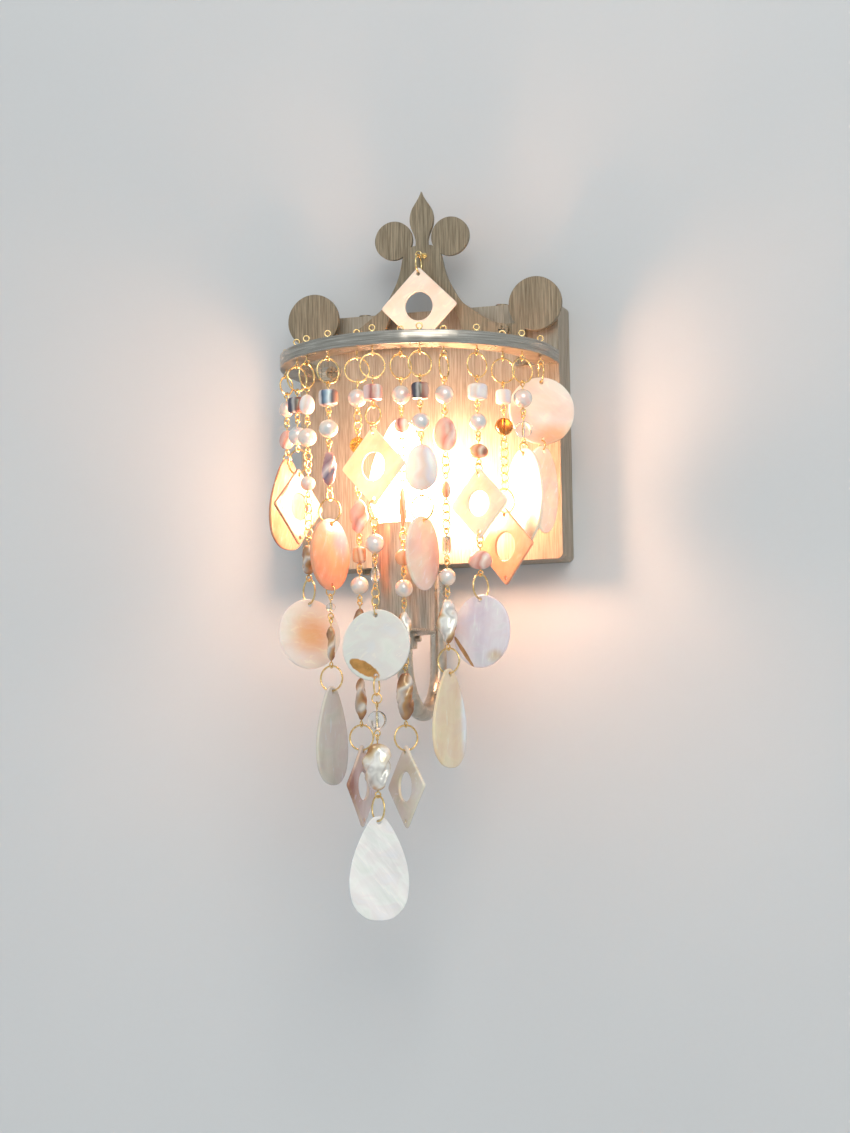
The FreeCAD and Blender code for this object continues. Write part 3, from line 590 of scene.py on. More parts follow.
@dataclass(frozen=True)
class CutGlass:
    """Clear pressed glass, fire polished: see-through, with bright points.

    Attributes:
        name: The material's name.
        tint: Colour of the thicker glass.
        pale: Colour of the thinner glass.
        roughness: Its roughness.
        per_metre: How often its surface waves.
    """

    name: str
    tint: str
    pale: str = "#ffffff"
    roughness: float = 0.02
    per_metre: float = 190.0

    def material(self) -> bpy.types.Material:
        """Build the material: glass with the faint waves of a pressed surface."""
        material, tree, shader = blank_material(self.name)
        waves = noise(tree, object_pattern(tree, (self.per_metre,) * 3), 1.0)
        colour = ramp(tree, waves, [(0.3, linear(self.pale)), (0.7, linear(self.tint))])
        tree.links.new(colour, shader.inputs["Base Color"])
        emboss(tree, shader, waves, 0.3, 0.3)
        set_sockets(shader, Roughness=self.roughness, Transmission_Weight=1.0, IOR=GLASS_IOR)
        return material


@dataclass(frozen=True)
class Moulded:
    """Glazed porcelain or moulded plastic: an even colour with a fine skin texture.

    Attributes:
        name: The material's name.
        colour: Its main colour.
        shade: Its colour in the grain's hollows.
        roughness: Its roughness.
        grit_mm: Size of a grain.
        coat: How much glaze it has.
    """

    name: str
    colour: str
    shade: str
    roughness: float
    grit_mm: float = 0.6
    coat: float = 0.0

    def material(self) -> bpy.types.Material:
        """Build the material: a fine noise gives the skin its shade and grain."""
        material, tree, shader = blank_material(self.name)
        per_metre = 1.0 / (self.grit_mm * MM)
        grit = noise(tree, object_pattern(tree, (per_metre,) * 3), 3.0)
        colour = ramp(tree, grit, [(0.3, linear(self.shade)), (0.7, linear(self.colour))])
        tree.links.new(colour, shader.inputs["Base Color"])
        emboss(tree, shader, grit, 0.2, 0.05)
        set_sockets(shader, Roughness=self.roughness, Coat_Weight=self.coat, Coat_Roughness=0.05)
        return material


@dataclass(frozen=True)
class LitOpal:
    """Opal glass with the lamp burning inside: a warm light that fades towards the cap.

    Attributes:
        name: The material's name.
        glass: Colour of the glass.
        light: Colour of the light.
        strength: The light's strength where it is brightest.
        bright_mm: Height of that place.
        fade_mm: How far from it the light has faded.
        faded: The share of the light that is left there.
    """

    name: str
    glass: str
    light: str
    strength: float
    bright_mm: float
    fade_mm: float
    faded: float = 0.35

    def material(self) -> bpy.types.Material:
        """Build the material: the glow follows height, as the coil sits at mid height."""
        material, tree, shader = blank_material(self.name)
        place = add(tree, "ShaderNodeTexCoord").outputs["Object"]
        height = add(tree, "ShaderNodeSeparateXYZ", {"Vector": place}).outputs["Z"]
        away = add(tree, "ShaderNodeMath", {
            0: height, 1: self.bright_mm * MM}, operation="SUBTRACT").outputs[0]
        far = add(tree, "ShaderNodeMath", {0: away}, operation="ABSOLUTE").outputs[0]
        power = remap(tree, far, self.strength, self.strength * self.faded, 0.0, self.fade_mm * MM)
        set_sockets(shader, Roughness=0.25)
        shader.inputs["Base Color"].default_value = linear(self.glass)
        shader.inputs["Emission Color"].default_value = linear(self.light)
        tree.links.new(power, shader.inputs["Emission Strength"])
        return material


Finish = BrushedPlate | PolishedMetal | Nacre | BandedShell | PearlCoat | CutGlass | Moulded | LitOpal
MATERIALS: dict[Finish, bpy.types.Material] = {}


def shared_material(finish: Finish) -> bpy.types.Material:
    """The one material of a finish, made when it is first asked for.

    Args:
        finish: The finish.

    Returns:
        Its material.
    """
    if finish not in MATERIALS:
        MATERIALS[finish] = finish.material()
    return MATERIALS[finish]


# --------------------------------------------------------------------------
# Meshes from numbers
# --------------------------------------------------------------------------

@dataclass
class MeshDraft:
    """Vertices, faces, UV and materials of one object, gathered part by part."""

    points: list[np.ndarray] = field(default_factory=list)
    faces: list[np.ndarray] = field(default_factory=list)
    uvs: list[np.ndarray] = field(default_factory=list)
    slots: list[np.ndarray] = field(default_factory=list)
    smooth: list[np.ndarray] = field(default_factory=list)
    count: int = 0

    def add_loop_grid(self, grid: np.ndarray, uv: np.ndarray, slot: int, smooth: bool = True) -> None:
        """Add a grid that closes on itself both ways, turned so that its faces point outwards.

        The signed volume is a sixth of the sum of p0 . (p1 x p2) over the
        triangles; a negative one means that the faces point inwards.

        Args:
            grid: Points, rows by columns by 3, in metres.
            uv: Coordinates, rows by columns by 2.
            slot: Material slot number.
            smooth: Whether the faces are shaded smooth.
        """
        rows, columns = grid.shape[:2]
        index = np.arange(rows * columns).reshape(rows, columns)
        right = np.roll(index, -1, axis=1)
        quads = np.stack([index, right, np.roll(right, -1, axis=0),
                          np.roll(index, -1, axis=0)], axis=-1).reshape(-1, 4)
        flat = grid.reshape(-1, 3)
        corners = flat[quads] - flat.mean(axis=0)
        volume = (np.einsum("ij,ij->i", corners[:, 0], np.cross(corners[:, 1], corners[:, 2]))
                  + np.einsum("ij,ij->i", corners[:, 0], np.cross(corners[:, 2], corners[:, 3])))
        if volume.sum() < 0.0:
            quads = quads[:, ::-1]
        self.points.append(flat)
        self.faces.append(quads + self.count)
        self.uvs.append(uv.reshape(-1, 2))
        self.slots.append(np.full(len(quads), slot))
        self.smooth.append(np.full(len(quads), smooth))
        self.count += len(flat)

    def build(self, name: str, materials: list[bpy.types.Material]) -> bpy.types.Object:
        """Make the object.

        Args:
            name: The piece's name.
            materials: The material of each slot.

        Returns:
            The new object, at the origin.
        """
        points = np.concatenate(self.points)
        faces = np.concatenate(self.faces)
        mesh = bpy.data.meshes.new(name)
        mesh.from_pydata(points.tolist(), [], faces.tolist())
        for material in materials:
            mesh.materials.append(material)
        mesh.polygons.foreach_set("material_index", np.concatenate(self.slots).astype(np.int32))
        mesh.polygons.foreach_set("use_smooth", np.concatenate(self.smooth))
        layer = mesh.uv_layers.new(name="piece")
        corner = np.zeros(len(mesh.loops), np.int32)
        mesh.loops.foreach_get("vertex_index", corner)
        layer.data.foreach_set("uv", np.concatenate(self.uvs)[corner].astype(np.float32).ravel())
        mesh.update()
        made = bpy.data.objects.new(name, mesh)
        bpy.context.scene.collection.objects.link(made)
        return made


def node_points(node: str) -> tuple[np.ndarray, np.ndarray]:
    """Read a node's mesh.

    Args:
        node: The node's name.

    Returns:
        Its points in metres, and its triangles as rows of three point numbers.
    """
    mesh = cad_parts[node].data
    points = np.zeros(len(mesh.vertices) * 3, np.float32)
    mesh.vertices.foreach_get("co", points)
    mesh.calc_loop_triangles()
    triangles = np.zeros(len(mesh.loop_triangles) * 3, np.int32)
    mesh.loop_triangles.foreach_get("vertices", triangles)
    return points.reshape(-1, 3).astype(float), triangles.reshape(-1, 3)


def solids_by_height(node: str) -> list[np.ndarray]:
    """Split a node whose solids hang one below the other into its solids.

    Each triangle spans an interval of height. Sorted by their lowest point,
    a new solid starts where a triangle begins above all that came before it.

    Args:
        node: The node's name.

    Returns:
        The points of each solid, from the top one down.
    """
    points, triangles = node_points(node)
    heights = points[triangles][:, :, 2]
    low, high = heights.min(axis=1), heights.max(axis=1)
    order = np.argsort(low)
    reach = np.maximum.accumulate(high[order])
    starts = np.flatnonzero(low[order][1:] > reach[:-1] + SOLID_GAP) + 1
    groups = np.split(triangles[order], starts)
    return [points[group.ravel()] for group in groups][::-1]


def closed_spline(corners: np.ndarray, count: int) -> np.ndarray:
    """A smooth closed curve through points: a periodic Catmull-Rom spline.

    Between two points the curve is the usual cubic blend of the four points
    round it, taken at evenly spaced parameters.

    Args:
        corners: Points, rows of two.
        count: How many points the curve gets.

    Returns:
        The curve's points.
    """
    t = np.linspace(0.0, len(corners), count, endpoint=False)
    i = t.astype(int)
    f = (t - i)[:, None]
    p0, p1, p2, p3 = (corners[(i + k) % len(corners)] for k in (-1, 0, 1, 2))
    return 0.5 * (2 * p1 + (p2 - p0) * f + (2 * p0 - 5 * p1 + 4 * p2 - p3) * f ** 2
                  + (3 * p1 - p0 - 3 * p2 + p3) * f ** 3)


def ripple(angle: np.ndarray, seed: int, size: float, waves: tuple[int, ...] = (2, 3, 5)) -> np.ndarray:
    """A gentle closed unevenness: a sum of cosines with seeded phases, each weaker than the last.

    Args:
        angle: Angles in radians.
        seed: Seed of the phases.
        size: The first wave's height.
        waves: How many times each cosine goes round.

    Returns:
        The unevenness at each angle.
    """
    phases = np.random.default_rng(seed).uniform(0.0, math.tau, len(waves))
    return sum(size / (k + 1) * np.cos(n * angle + phase)
               for k, (n, phase) in enumerate(zip(waves, phases)))


# --------------------------------------------------------------------------
# Shell plates
# --------------------------------------------------------------------------

class PlateForm(Enum):
    """How a shell plate is cut."""

    DIAMOND = "diamond"
    DROP = "drop"
    OVAL = "oval"


@dataclass(frozen=True)
class PlateLook:
    """What one shell plate is. A bow below zero leans towards the wall."""

    name: str
    form: PlateForm
    finish: Nacre
    bow_mm: float = 1.3
    uneven: float = 0.008


@dataclass
class ShellPlate:
    """One cut shell plate, rebuilt over its solid with a bow and rounded rims.

    Attributes:
        look: Its form and finish.
        solid: The points of its solid.
        lower_hole: Whether something hangs below, or the maker drills both ends.
        seed: Seed of its unevenness.
        thickness: Its thickness.
        hole_r: Radius of a hanging hole.
        hole_in: How far a hole's middle is from the plate's end.
        corner_in: How much further in it is on a diamond.
        corner_r: Radius of a diamond's corners.
        corner_out: How far the square that the corners cut reaches past the solid.
        window_share: Radius of a diamond's window as a share of half its width.
        rim: How far the rounding of a rim runs in.
        outline_points: How many points the outline has.
        columns: How many points the surface has round the hole.
        spread: How many rows it has between the two rims.
        rim_rows: How many rows a rim has from face to middle.
        outline_pull: How far the columns keep to the outline's own points, from 0 to 1.
        bow_shape: The bow in the middle, and what it loses across and along the plate.
        drill_sides: How many sides a small hole has.
    """

    look: PlateLook
    solid: np.ndarray
    lower_hole: bool
    seed: int
    thickness: float = 1.6 * MM
    hole_r: float = 1.1 * MM
    hole_in: float = 3.0 * MM
    corner_in: float = 0.8 * MM
    corner_r: float = 1.3 * MM
    corner_out: float = 0.4 * MM
    window_share: float = 0.36
    rim: float = 0.55 * MM
    outline_points: int = 720
    columns: int = 128
    spread: int = 15
    rim_rows: int = 5
    outline_pull: float = 0.65
    bow_shape: tuple[float, float, float] = (0.6, 0.7, 0.5)
    drill_sides: int = 20

    def __post_init__(self) -> None:
        """Measure the solid: its middle, its half sizes and the way its width runs."""
        flat = self.solid[:, :2]
        low, high = self.solid[:, 2].min(), self.solid[:, 2].max()
        middle = flat.mean(axis=0)
        vectors = np.linalg.svd(flat - middle, full_matrices=False)[2]
        across = vectors[0] * (1.0 if vectors[0][0] >= 0 else -1.0)
        facing = np.array([across[1], -across[0]])
        along, through = (flat - middle) @ across, (flat - middle) @ facing
        centre = middle + across * (along.max() + along.min()) / 2
        centre = centre + facing * (through.max() + through.min()) / 2
        self.centre = np.append(centre, (low + high) / 2)
        self.across = np.append(across, 0.0)
        self.facing = np.append(facing, 0.0)
        self.half_w = (along.max() - along.min()) / 2
        self.half_h = (high - low) / 2

    def outline(self) -> np.ndarray:
        """The plate's closed outline in its own plane.

        The diamond is a square on its corner with rounded corners. The oval
        is an ellipse whose radius wavers slightly. The drop is a spline that
        is drawn in to a blunt point above.

        Returns:
            Its points, rows of two.
        """
        w, h = self.half_w, self.half_h
        if self.look.form is PlateForm.DIAMOND:
            return self._rounded_square()
        if self.look.form is PlateForm.OVAL:
            angle = np.linspace(0.0, math.tau, self.outline_points, endpoint=False)
            wave = 1.0 + ripple(angle, self.seed, self.look.uneven) - self.look.uneven
            return np.stack([w * np.cos(angle) * wave, h * np.sin(angle) * wave], axis=1)
        side = np.array([(0.0, 1.0), (0.24, 0.95), (0.50, 0.72), (0.76, 0.38), (0.94, 0.02),
                         (0.985, -0.34), (0.86, -0.70), (0.48, -0.94), (0.0, -1.0)])
        other = side[1:-1][::-1] * (-1.0, 1.0)
        return closed_spline(np.concatenate([side, other]) * (w, h), self.outline_points)

    def _rounded_square(self) -> np.ndarray:
        """A square on its corner, with an arc at each corner, in evenly spaced points.

        Returns:
            Its points, rows of two.
        """
        w, h = self.half_w + self.corner_out, self.half_h + self.corner_out
        tips = np.array([(w, 0.0), (0.0, h), (-w, 0.0), (0.0, -h)])
        arcs = []
        for k, tip in enumerate(tips):
            before, after = tips[k - 1] - tip, tips[(k + 1) % 4] - tip
            before, after = before / np.linalg.norm(before), after / np.linalg.norm(after)
            inward = -tip / np.linalg.norm(tip)
            half = math.acos(float(np.clip(before @ inward, -1, 1)))
            hub = tip + inward * self.corner_r / math.sin(half)
            facing = math.atan2(-inward[1], -inward[0])
            sweep = np.linspace(-(math.pi / 2 - half), math.pi / 2 - half, 9) + facing
            arcs.append(hub + self.corner_r * np.stack([np.cos(sweep), np.sin(sweep)], axis=1))
        ring = np.concatenate(arcs)
        closed = np.concatenate([ring, ring[:1]])
        length = np.concatenate([[0.0], np.cumsum(np.linalg.norm(np.diff(closed, axis=0), axis=1))])
        at = np.linspace(0.0, length[-1], self.outline_points, endpoint=False)
        return np.stack([np.interp(at, length, closed[:, i]) for i in (0, 1)], axis=1)

    def hub(self) -> tuple[np.ndarray, float]:
        """The hole that the grid runs round: the window, or the hanging hole.

        Returns:
            The hole's middle and its radius.
        """
        if self.look.form is PlateForm.DIAMOND:
            return np.zeros(2), self.half_w * self.window_share
        return np.array([0.0, self.half_h - self.hole_in]), self.hole_r

    def grid(self) -> tuple[np.ndarray, np.ndarray]:
        """The plate's surface as one closed grid.

        Columns go round the hub hole. Rows go from the hole outwards over the
        front, round the rim, back over the rear and through the hole. Half
        the thickness falls to nothing at both edges as a quarter circle, and
        the whole plate bows as a - b (x/w)^2 - c (z/h)^2 with the three
        numbers of its bow. On an oval or a drop, the columns are drawn
        towards the outline's own points.

        Returns:
            The points, and their UV from -1 to 1.
        """
        hub, hole_r = self.hub()
        ring = self.outline() - hub
        angles = np.arctan2(ring[:, 1], ring[:, 0]) % math.tau
        order = np.argsort(angles)
        turns = np.linspace(0.0, math.tau, self.columns, endpoint=False)
        if self.look.form is not PlateForm.DIAMOND:
            arc = np.linspace(0, len(ring), self.columns, endpoint=False).astype(int)
            turns = np.sort((1 - self.outline_pull) * turns + self.outline_pull * np.sort(angles[arc]))
        reach = np.interp(turns, angles[order], np.linalg.norm(ring[order], axis=1), period=math.tau)
        quarter = np.linspace(0.0, math.pi / 2, self.rim_rows)
        lip = self.rim * (1.0 - np.cos(quarter))
        rise = np.sin(quarter)
        inner = hole_r + lip[:, None] + 0.0 * reach
        outer = reach - lip[:, None]
        fractions = np.linspace(0.0, 1.0, self.spread + 2)[1:-1, None]
        between = inner[-1] + (outer[-1] - inner[-1]) * fractions
        front = np.concatenate([inner, between, outer[::-1]])
        height = np.concatenate([rise, np.ones(self.spread), rise[::-1]])
        radii = np.concatenate([front, front[::-1][1:-1]])
        heights = np.concatenate([height, -height[::-1][1:-1]]) * self.thickness / 2
        flat_x = hub[0] + radii * np.cos(turns)
        flat_z = hub[1] + radii * np.sin(turns)
        middle, across, along = self.bow_shape
        bow = self.look.bow_mm * MM * (middle - (flat_x / self.half_w) ** 2 * across
                                       - (flat_z / self.half_h) ** 2 * along)
        depth = heights[:, None] + bow
        points = (self.centre + flat_x[..., None] * self.across + depth[..., None] * self.facing
                  + flat_z[..., None] * UPWARD)
        return points, np.stack([flat_x / self.half_w, flat_z / self.half_h], axis=-1)

    def drill_places(self) -> list[float]:
        """Where the small holes are that are cut after the grid is made.

        Returns:
            Their heights above the plate's middle.
        """
        hole = self.half_h - self.hole_in
        if self.look.form is PlateForm.DIAMOND:
            hole -= self.corner_in
            return [hole, -hole] if self.lower_hole else [hole]
        return [-hole] if self.lower_hole else []

    def build(self, name: str) -> bpy.types.Object:
        """Make the plate and drill its small holes.

        Args:
            name: The piece's name.

        Returns:
            The plate's object.
        """
        draft = MeshDraft()
        points, uv = self.grid()
        draft.add_loop_grid(points, uv, 0)
        plate = draft.build(name, [shared_material(self.look.finish)])
        for height in self.drill_places():
            self._drill(plate, height)
        plate.data.set_sharp_from_angle(angle=SHARP_ANGLE)
        return plate

    def _drill(self, plate: bpy.types.Object, height: float) -> None:
        """Cut a round hole through the plate and keep the result as its mesh.

        Args:
            plate: The plate's object.
            height: Where the hole is, above the plate's middle.
        """
        count = self.drill_sides
        angle = np.linspace(0.0, math.tau, count, endpoint=False)[:, None]
        circle = (np.cos(angle) * self.across + np.sin(angle) * UPWARD) * self.hole_r
        at = self.centre + height * UPWARD
        reach = 4 * self.thickness * self.facing
        ends = np.concatenate([circle + at - reach, circle + at + reach])
        step = np.arange(count)
        sides = np.stack([step, (step + 1) % count, (step + 1) % count + count, step + count], axis=1)
        mesh = bpy.data.meshes.new("drill")
        caps = [list(range(count))[::-1], list(range(count, 2 * count))]
        mesh.from_pydata(ends.tolist(), [], sides.tolist() + caps)
        drill = bpy.data.objects.new("drill", mesh)
        bpy.context.scene.collection.objects.link(drill)
        cut = plate.modifiers.new("hanging hole", "BOOLEAN")
        cut.operation, cut.object, cut.solver = "DIFFERENCE", drill, "EXACT"
        apply_modifiers(plate)
        bpy.data.objects.remove(drill)


def apply_modifiers(piece: bpy.types.Object) -> None:
    """Bake a piece's modifiers into its mesh.

    Args:
        piece: The object.
    """
    bpy.context.view_layer.update()
    graph = bpy.context.evaluated_depsgraph_get()
    mesh = bpy.data.meshes.new_from_object(piece.evaluated_get(graph))
    piece.modifiers.clear()
    piece.data = mesh


# --------------------------------------------------------------------------
# Beads
# --------------------------------------------------------------------------

class BeadForm(Enum):
    """How a bead is made."""

    ROUND = "round"
    BARREL = "barrel"
    NUGGET = "nugget"
    ALMOND = "almond"
    GEM = "gem"
    FILIGREE = "filigree"


@dataclass(frozen=True)
class BeadLook:
    """What one bead is."""

    form: BeadForm
    finish: Finish


@dataclass
class Bead:
    """One bead, rebuilt in the box of its solid and bored for its pin.

    Attributes:
        look: Its form and finish.
        solid: The points of its solid.
        seed: Seed of its unevenness.
        bore_r: Radius of the bore.
        bore_rows: How many rows the bore has.
        rows: How many rows the outside has.
        columns: How many points a row has.
        sides: How many sides a cut bead has.
    """

    POWERS = {BeadForm.ROUND: 2.0, BeadForm.BARREL: 5.0, BeadForm.NUGGET: 2.3, BeadForm.ALMOND: 2.1}
    NUGGET_WAVE, NUGGET_LUMP, NUGGET_CREASE = 0.15, 0.12, 0.13
    NUGGET_TWIST = math.radians(38.0)
    ALMOND_TAPER, ALMOND_WAVER = 0.10, 0.02
    PLAIN_WAVER = 0.012

    look: BeadLook
    solid: np.ndarray
    seed: int
    bore_r: float = 0.55 * MM
    bore_rows: int = 3
    rows: int = 26
    columns: int = 36
    sides: int = 8

    def __post_init__(self) -> None:
        """Measure the solid."""
        low, high = self.solid.min(axis=0), self.solid.max(axis=0)
        self.centre = (low + high) / 2
        self.half = (high - low) / 2

    def add_to(self, draft: MeshDraft, slot: int) -> None:
        """Add the bead to the strand's mesh.

        Args:
            draft: The strand's mesh draft.
            slot: The bead's material slot.
        """
        if self.look.form is BeadForm.FILIGREE:
            self._add_filigree(draft, slot)
            return
        if self.look.form is BeadForm.GEM:
            grid = self._gem_grid()
            draft.add_loop_grid(grid, self._uv(grid), slot, smooth=False)
            return
        grid = self._turned_grid()
        draft.add_loop_grid(grid, self._uv(grid), slot)

    def _uv(self, grid: np.ndarray) -> np.ndarray:
        """Coordinates across and up the bead, as a straight slice through it.

        Args:
            grid: The bead's points.

        Returns:
            Two coordinates from -1 to 1 for each point.
        """
        return np.stack([(grid[..., 0] - self.centre[0]) / self.half[0],
                         (grid[..., 2] - self.centre[2]) / self.half[2]], axis=-1)

    def _turned_grid(self) -> np.ndarray:
        """A bead's closed surface.

        The outer profile is a superellipse, |r|^n + |z|^n = 1, from one end
        of the bore to the other: n is 2 for a round bead and about 5 for a
        barrel. The bore closes the loop. A nugget's section turns with
        height and its radius swells and sinks in seeded waves.

        Returns:
            The points, rows by columns by 3.
        """
        power = self.POWERS[self.look.form]
        a, d, h = self.half
        start = math.asin(min(0.9, (self.bore_r / min(a, d)) ** (power / 2)))
        polar = np.linspace(start, math.pi - start, self.rows)[:, None]
        around = np.linspace(0.0, math.tau, self.columns, endpoint=False)[None, :]
        radial = np.abs(np.sin(polar)) ** (2 / power)
        upward = np.sign(np.cos(polar)) * np.abs(np.cos(polar)) ** (2 / power)
        swell = np.ones_like(polar * around)
        turn = np.zeros_like(swell)
        if self.look.form is BeadForm.NUGGET:
            swell = self._nugget_swell(polar, around)
            turn = np.broadcast_to(self.NUGGET_TWIST * upward, swell.shape)
        elif self.look.form is BeadForm.ALMOND:
            radial = radial * (1.0 - self.ALMOND_TAPER * upward)
            swell = 1.0 + ripple(around, self.seed, self.ALMOND_WAVER)
        else:
            swell = swell + ripple(around + polar, self.seed, self.PLAIN_WAVER)
        x = a * radial * swell * np.cos(around)
        y = d * radial * swell * np.sin(around)
        outer = np.stack([x * np.cos(turn) - y * np.sin(turn), x * np.sin(turn) + y * np.cos(turn),
                          np.broadcast_to(h * upward, x.shape)], axis=-1)
        rise = np.linspace(1.0, -1.0, self.bore_rows + 2)[1:-1][::-1, None]
        edge = h * float(np.abs(np.cos(start)) ** (2 / power))
        bore = np.stack([self.bore_r * np.cos(around) + 0 * rise,
                         self.bore_r * np.sin(around) + 0 * rise,
                         np.broadcast_to(rise * edge, (self.bore_rows, self.columns))], axis=-1)
        return np.concatenate([outer, bore]) + self.centre

    def _nugget_swell(self, polar: np.ndarray, around: np.ndarray) -> np.ndarray:
        """How a tumbled nugget swells and sinks: waves, lumps and creases that fade at its ends.

        Args:
            polar: The angle from the upper end, a column.
            around: The angle round the bore, a row.

        Returns:
            The radius as a share of its largest.
        """
        wave = ripple(around + 1.3 * polar, self.seed, self.NUGGET_WAVE, (2, 3, 5))
        lump = ripple(3 * polar - around, self.seed + 7, self.NUGGET_LUMP, (1, 2, 4))
        crease = -self.NUGGET_CREASE * np.abs(np.sin(1.5 * around + 2.4 * polar + self.seed))
        swell = 1.0 + (wave + lump + crease) * np.sin(polar)
        return swell / swell.max()

    def _gem_grid(self) -> np.ndarray:
        """A cut glass bead: eight sides in rings from bore to girdle to bore, alternately turned.

        Each ring has its share of the half width and of the half height.

        Returns:
            The points, rings by sides by 3.
        """
        levels = np.array([(0.24, 1.0), (0.72, 0.62), (1.0, 0.12), (1.0, -0.12), (0.72, -0.62),
                           (0.24, -1.0), (0.10, -0.98), (0.10, 0.98)])
        shift = np.array([0.0, 0.5, 0.0, 0.0, 0.5, 0.0, 0.0, 0.0])[:, None] * math.pi / self.sides
        around = np.linspace(0.0, math.tau, self.sides, endpoint=False)[None, :] + shift
        reach = levels[:, :1]
        return np.stack([self.half[0] * reach * np.cos(around), self.half[1] * reach * np.sin(around),
                         np.broadcast_to(self.half[2] * levels[:, 1:], around.shape)],
                        axis=-1) + self.centre

    def _add_filigree(self, draft: MeshDraft, slot: int) -> None:
        """A cast openwork ball: six hoops over the poles, three round it, and small rings between.

        The sizes of its wires and rings are shares of the ball's radius.

        Args:
            draft: The strand's mesh draft.
            slot: The bead's material slot.
        """
        ball = float(self.half.mean())
        wire = 0.055 * ball
        shell = ball - wire
        for k in range(6):
            angle = k * math.pi / 6
            self._add_hoop(draft, slot, np.zeros(3), shell, wire,
                           np.array([math.cos(angle), math.sin(angle), 0.0]))
        for level in (-0.55, 0.0, 0.55):
            radius = ball * math.sqrt(1 - level ** 2)
            self._add_hoop(draft, slot, ball * level * UPWARD, radius - wire, wire * 1.25, UPWARD)
        for level in (-0.28, 0.28):
            for k in range(12):
                angle = (k + 0.5) * math.pi / 6
                out = np.array([math.cos(angle) * math.cos(level), math.sin(angle) * math.cos(level),
                                math.sin(level)])
                self._add_hoop(draft, slot, out * shell, ball * 0.17, wire * 0.8, out)
        for end in (-1.0, 1.0):
            self._add_hoop(draft, slot, end * shell * UPWARD, ball * 0.2, wire * 1.6, UPWARD)

    def _add_hoop(self, draft: MeshDraft, slot: int, at: np.ndarray, radius: float, wire: float,
                  axis: np.ndarray) -> None:
        """Add a ring of wire: a circle of the wire's section carried round an axis.

        Args:
            draft: The strand's mesh draft.
            slot: Material slot.
            at: The ring's middle, from the bead's middle.
            radius: The ring's radius to the middle of the wire.
            wire: The wire's radius.
            axis: Unit vector square to the ring.
        """
        helper = UPWARD if abs(axis[2]) < 0.9 else np.array([1.0, 0.0, 0.0])
        first = np.cross(axis, helper)
        first /= np.linalg.norm(first)
        second = np.cross(axis, first)
        round_it = np.linspace(0.0, math.tau, HOOP_STEPS, endpoint=False)[:, None, None]
        section = np.linspace(0.0, math.tau, WIRE_STEPS, endpoint=False)[None, :, None]
        out = np.cos(round_it) * first + np.sin(round_it) * second
        grid = self.centre + at + out * (radius + wire * np.cos(section)) + axis * wire * np.sin(section)
        draft.add_loop_grid(grid, self._uv(grid), slot)


# --------------------------------------------------------------------------
# The finishes of this sconce
# --------------------------------------------------------------------------

CROWN_STEEL = BrushedPlate("brushed champagne-plated crown", "#6f6553", "#928671", "#b3a68e",
                           Grain.UPRIGHT, roughness=0.45, metal=0.8)
BOX_STEEL = BrushedPlate("brushed champagne-silver box", "#8c8070", "#ada18f", "#c9beac",
                         Grain.UPRIGHT, roughness=0.46, metal=0.8)
SILVER_HOOP = BrushedPlate("brushed silver-plated hoop", "#817c73", "#a8a49b", "#cfcbc2",
                           Grain.ALONG_HOOP, roughness=0.28)
SILVER_CUP = BrushedPlate("brushed silver-plated cup", "#8b8275", "#b5ab9c", "#d8cfc0",
                          Grain.UPRIGHT, roughness=0.32, metal=0.9)
STEEL_ARM = PolishedMetal("satin plated arm tube", "#c4bbac", "#a89f91", 0.26, mark_mm=5.0)
GOLD_WIRE = PolishedMetal("gold-plated brass wire", "#f5dfa8", "#d8b574", 0.2)
GOLD_CAST = PolishedMetal("cast gold-plated openwork", "#e6b855", "#a87430", 0.24, mark_mm=0.8)
ZINC_SHEET = PolishedMetal("zinc-plated bracket sheet", "#b8bcc0", "#989a9a", 0.42, mark_mm=6.0)
CAP_METAL = PolishedMetal("rolled aluminium cap", "#d3d0c9", "#a9a49a", 0.28)
CONTACT_BRASS = PolishedMetal("pressed brass contact", "#d8b468", "#9b7a3c", 0.3)
HOLDER_PORCELAIN = Moulded("glazed porcelain holder", "#f0ede4", "#dcd8cc", 0.12, 2.5, coat=0.6)
TERMINAL_PLASTIC = Moulded("moulded polyamide block", "#e6e3da", "#d3cfc4", 0.5, 0.5)
LEAD_SLEEVE = Moulded("silicone lead sleeve", "#f1efe8", "#dbd8cf", 0.45, 0.8)
LAMP_GLASS = LitOpal("lit opal lamp glass", "#fff0e2", "#ffc7a2", 70.0, -32.0, 44.0)
LAMP_COIL = LitOpal("glowing lamp coil", "#ffe7c2", "#ffb35e", 40.0, -32.0, 60.0)

PEARL_WHITE = PearlCoat("white glass pearl", "#f2e8de", "#d8dad8", "#f9decf")
PEARL_CREAM = PearlCoat("cream glass pearl", "#f1e0d0", "#dcd2ca", "#f8d6c2")
PEARL_MILK = PearlCoat("milky glass pearl", "#f3e9dc", "#d9dbd8", "#f8e2cc")
CLEAR_GLASS = CutGlass("clear pressed glass", "#eef4f4")
AMBER_GLASS = CutGlass("amber pressed glass", "#b8701c", pale="#e9b860", roughness=0.05)
BLUE_BAND = BandedShell("steel-blue banded shell", (
    (0.0, "#c9a48e"), (0.22, "#f4ece4"), (0.36, "#4a5566"), (0.5, "#8fa3b8"),
    (0.66, "#eaf0f2"), (0.8, "#6a6468"), (1.0, "#b98a70")), waviness=0.14)
RED_BAND = BandedShell("rose banded shell", (
    (0.0, "#f8e8e0"), (0.34, "#efc6ba"), (0.52, "#b0605a"), (0.68, "#e3a898"), (0.85, "#fbf0e8"),
    (1.0, "#dcae9c")), waviness=0.2, glow=0.3)
DARK_BAND = BandedShell("dark banded shell", (
    (0.0, "#3a3a40"), (0.34, "#4e4a50"), (0.5, "#c4bcb6"), (0.64, "#6e5854"), (0.8, "#a86a58"),
    (1.0, "#d0ac98")), waviness=0.16)
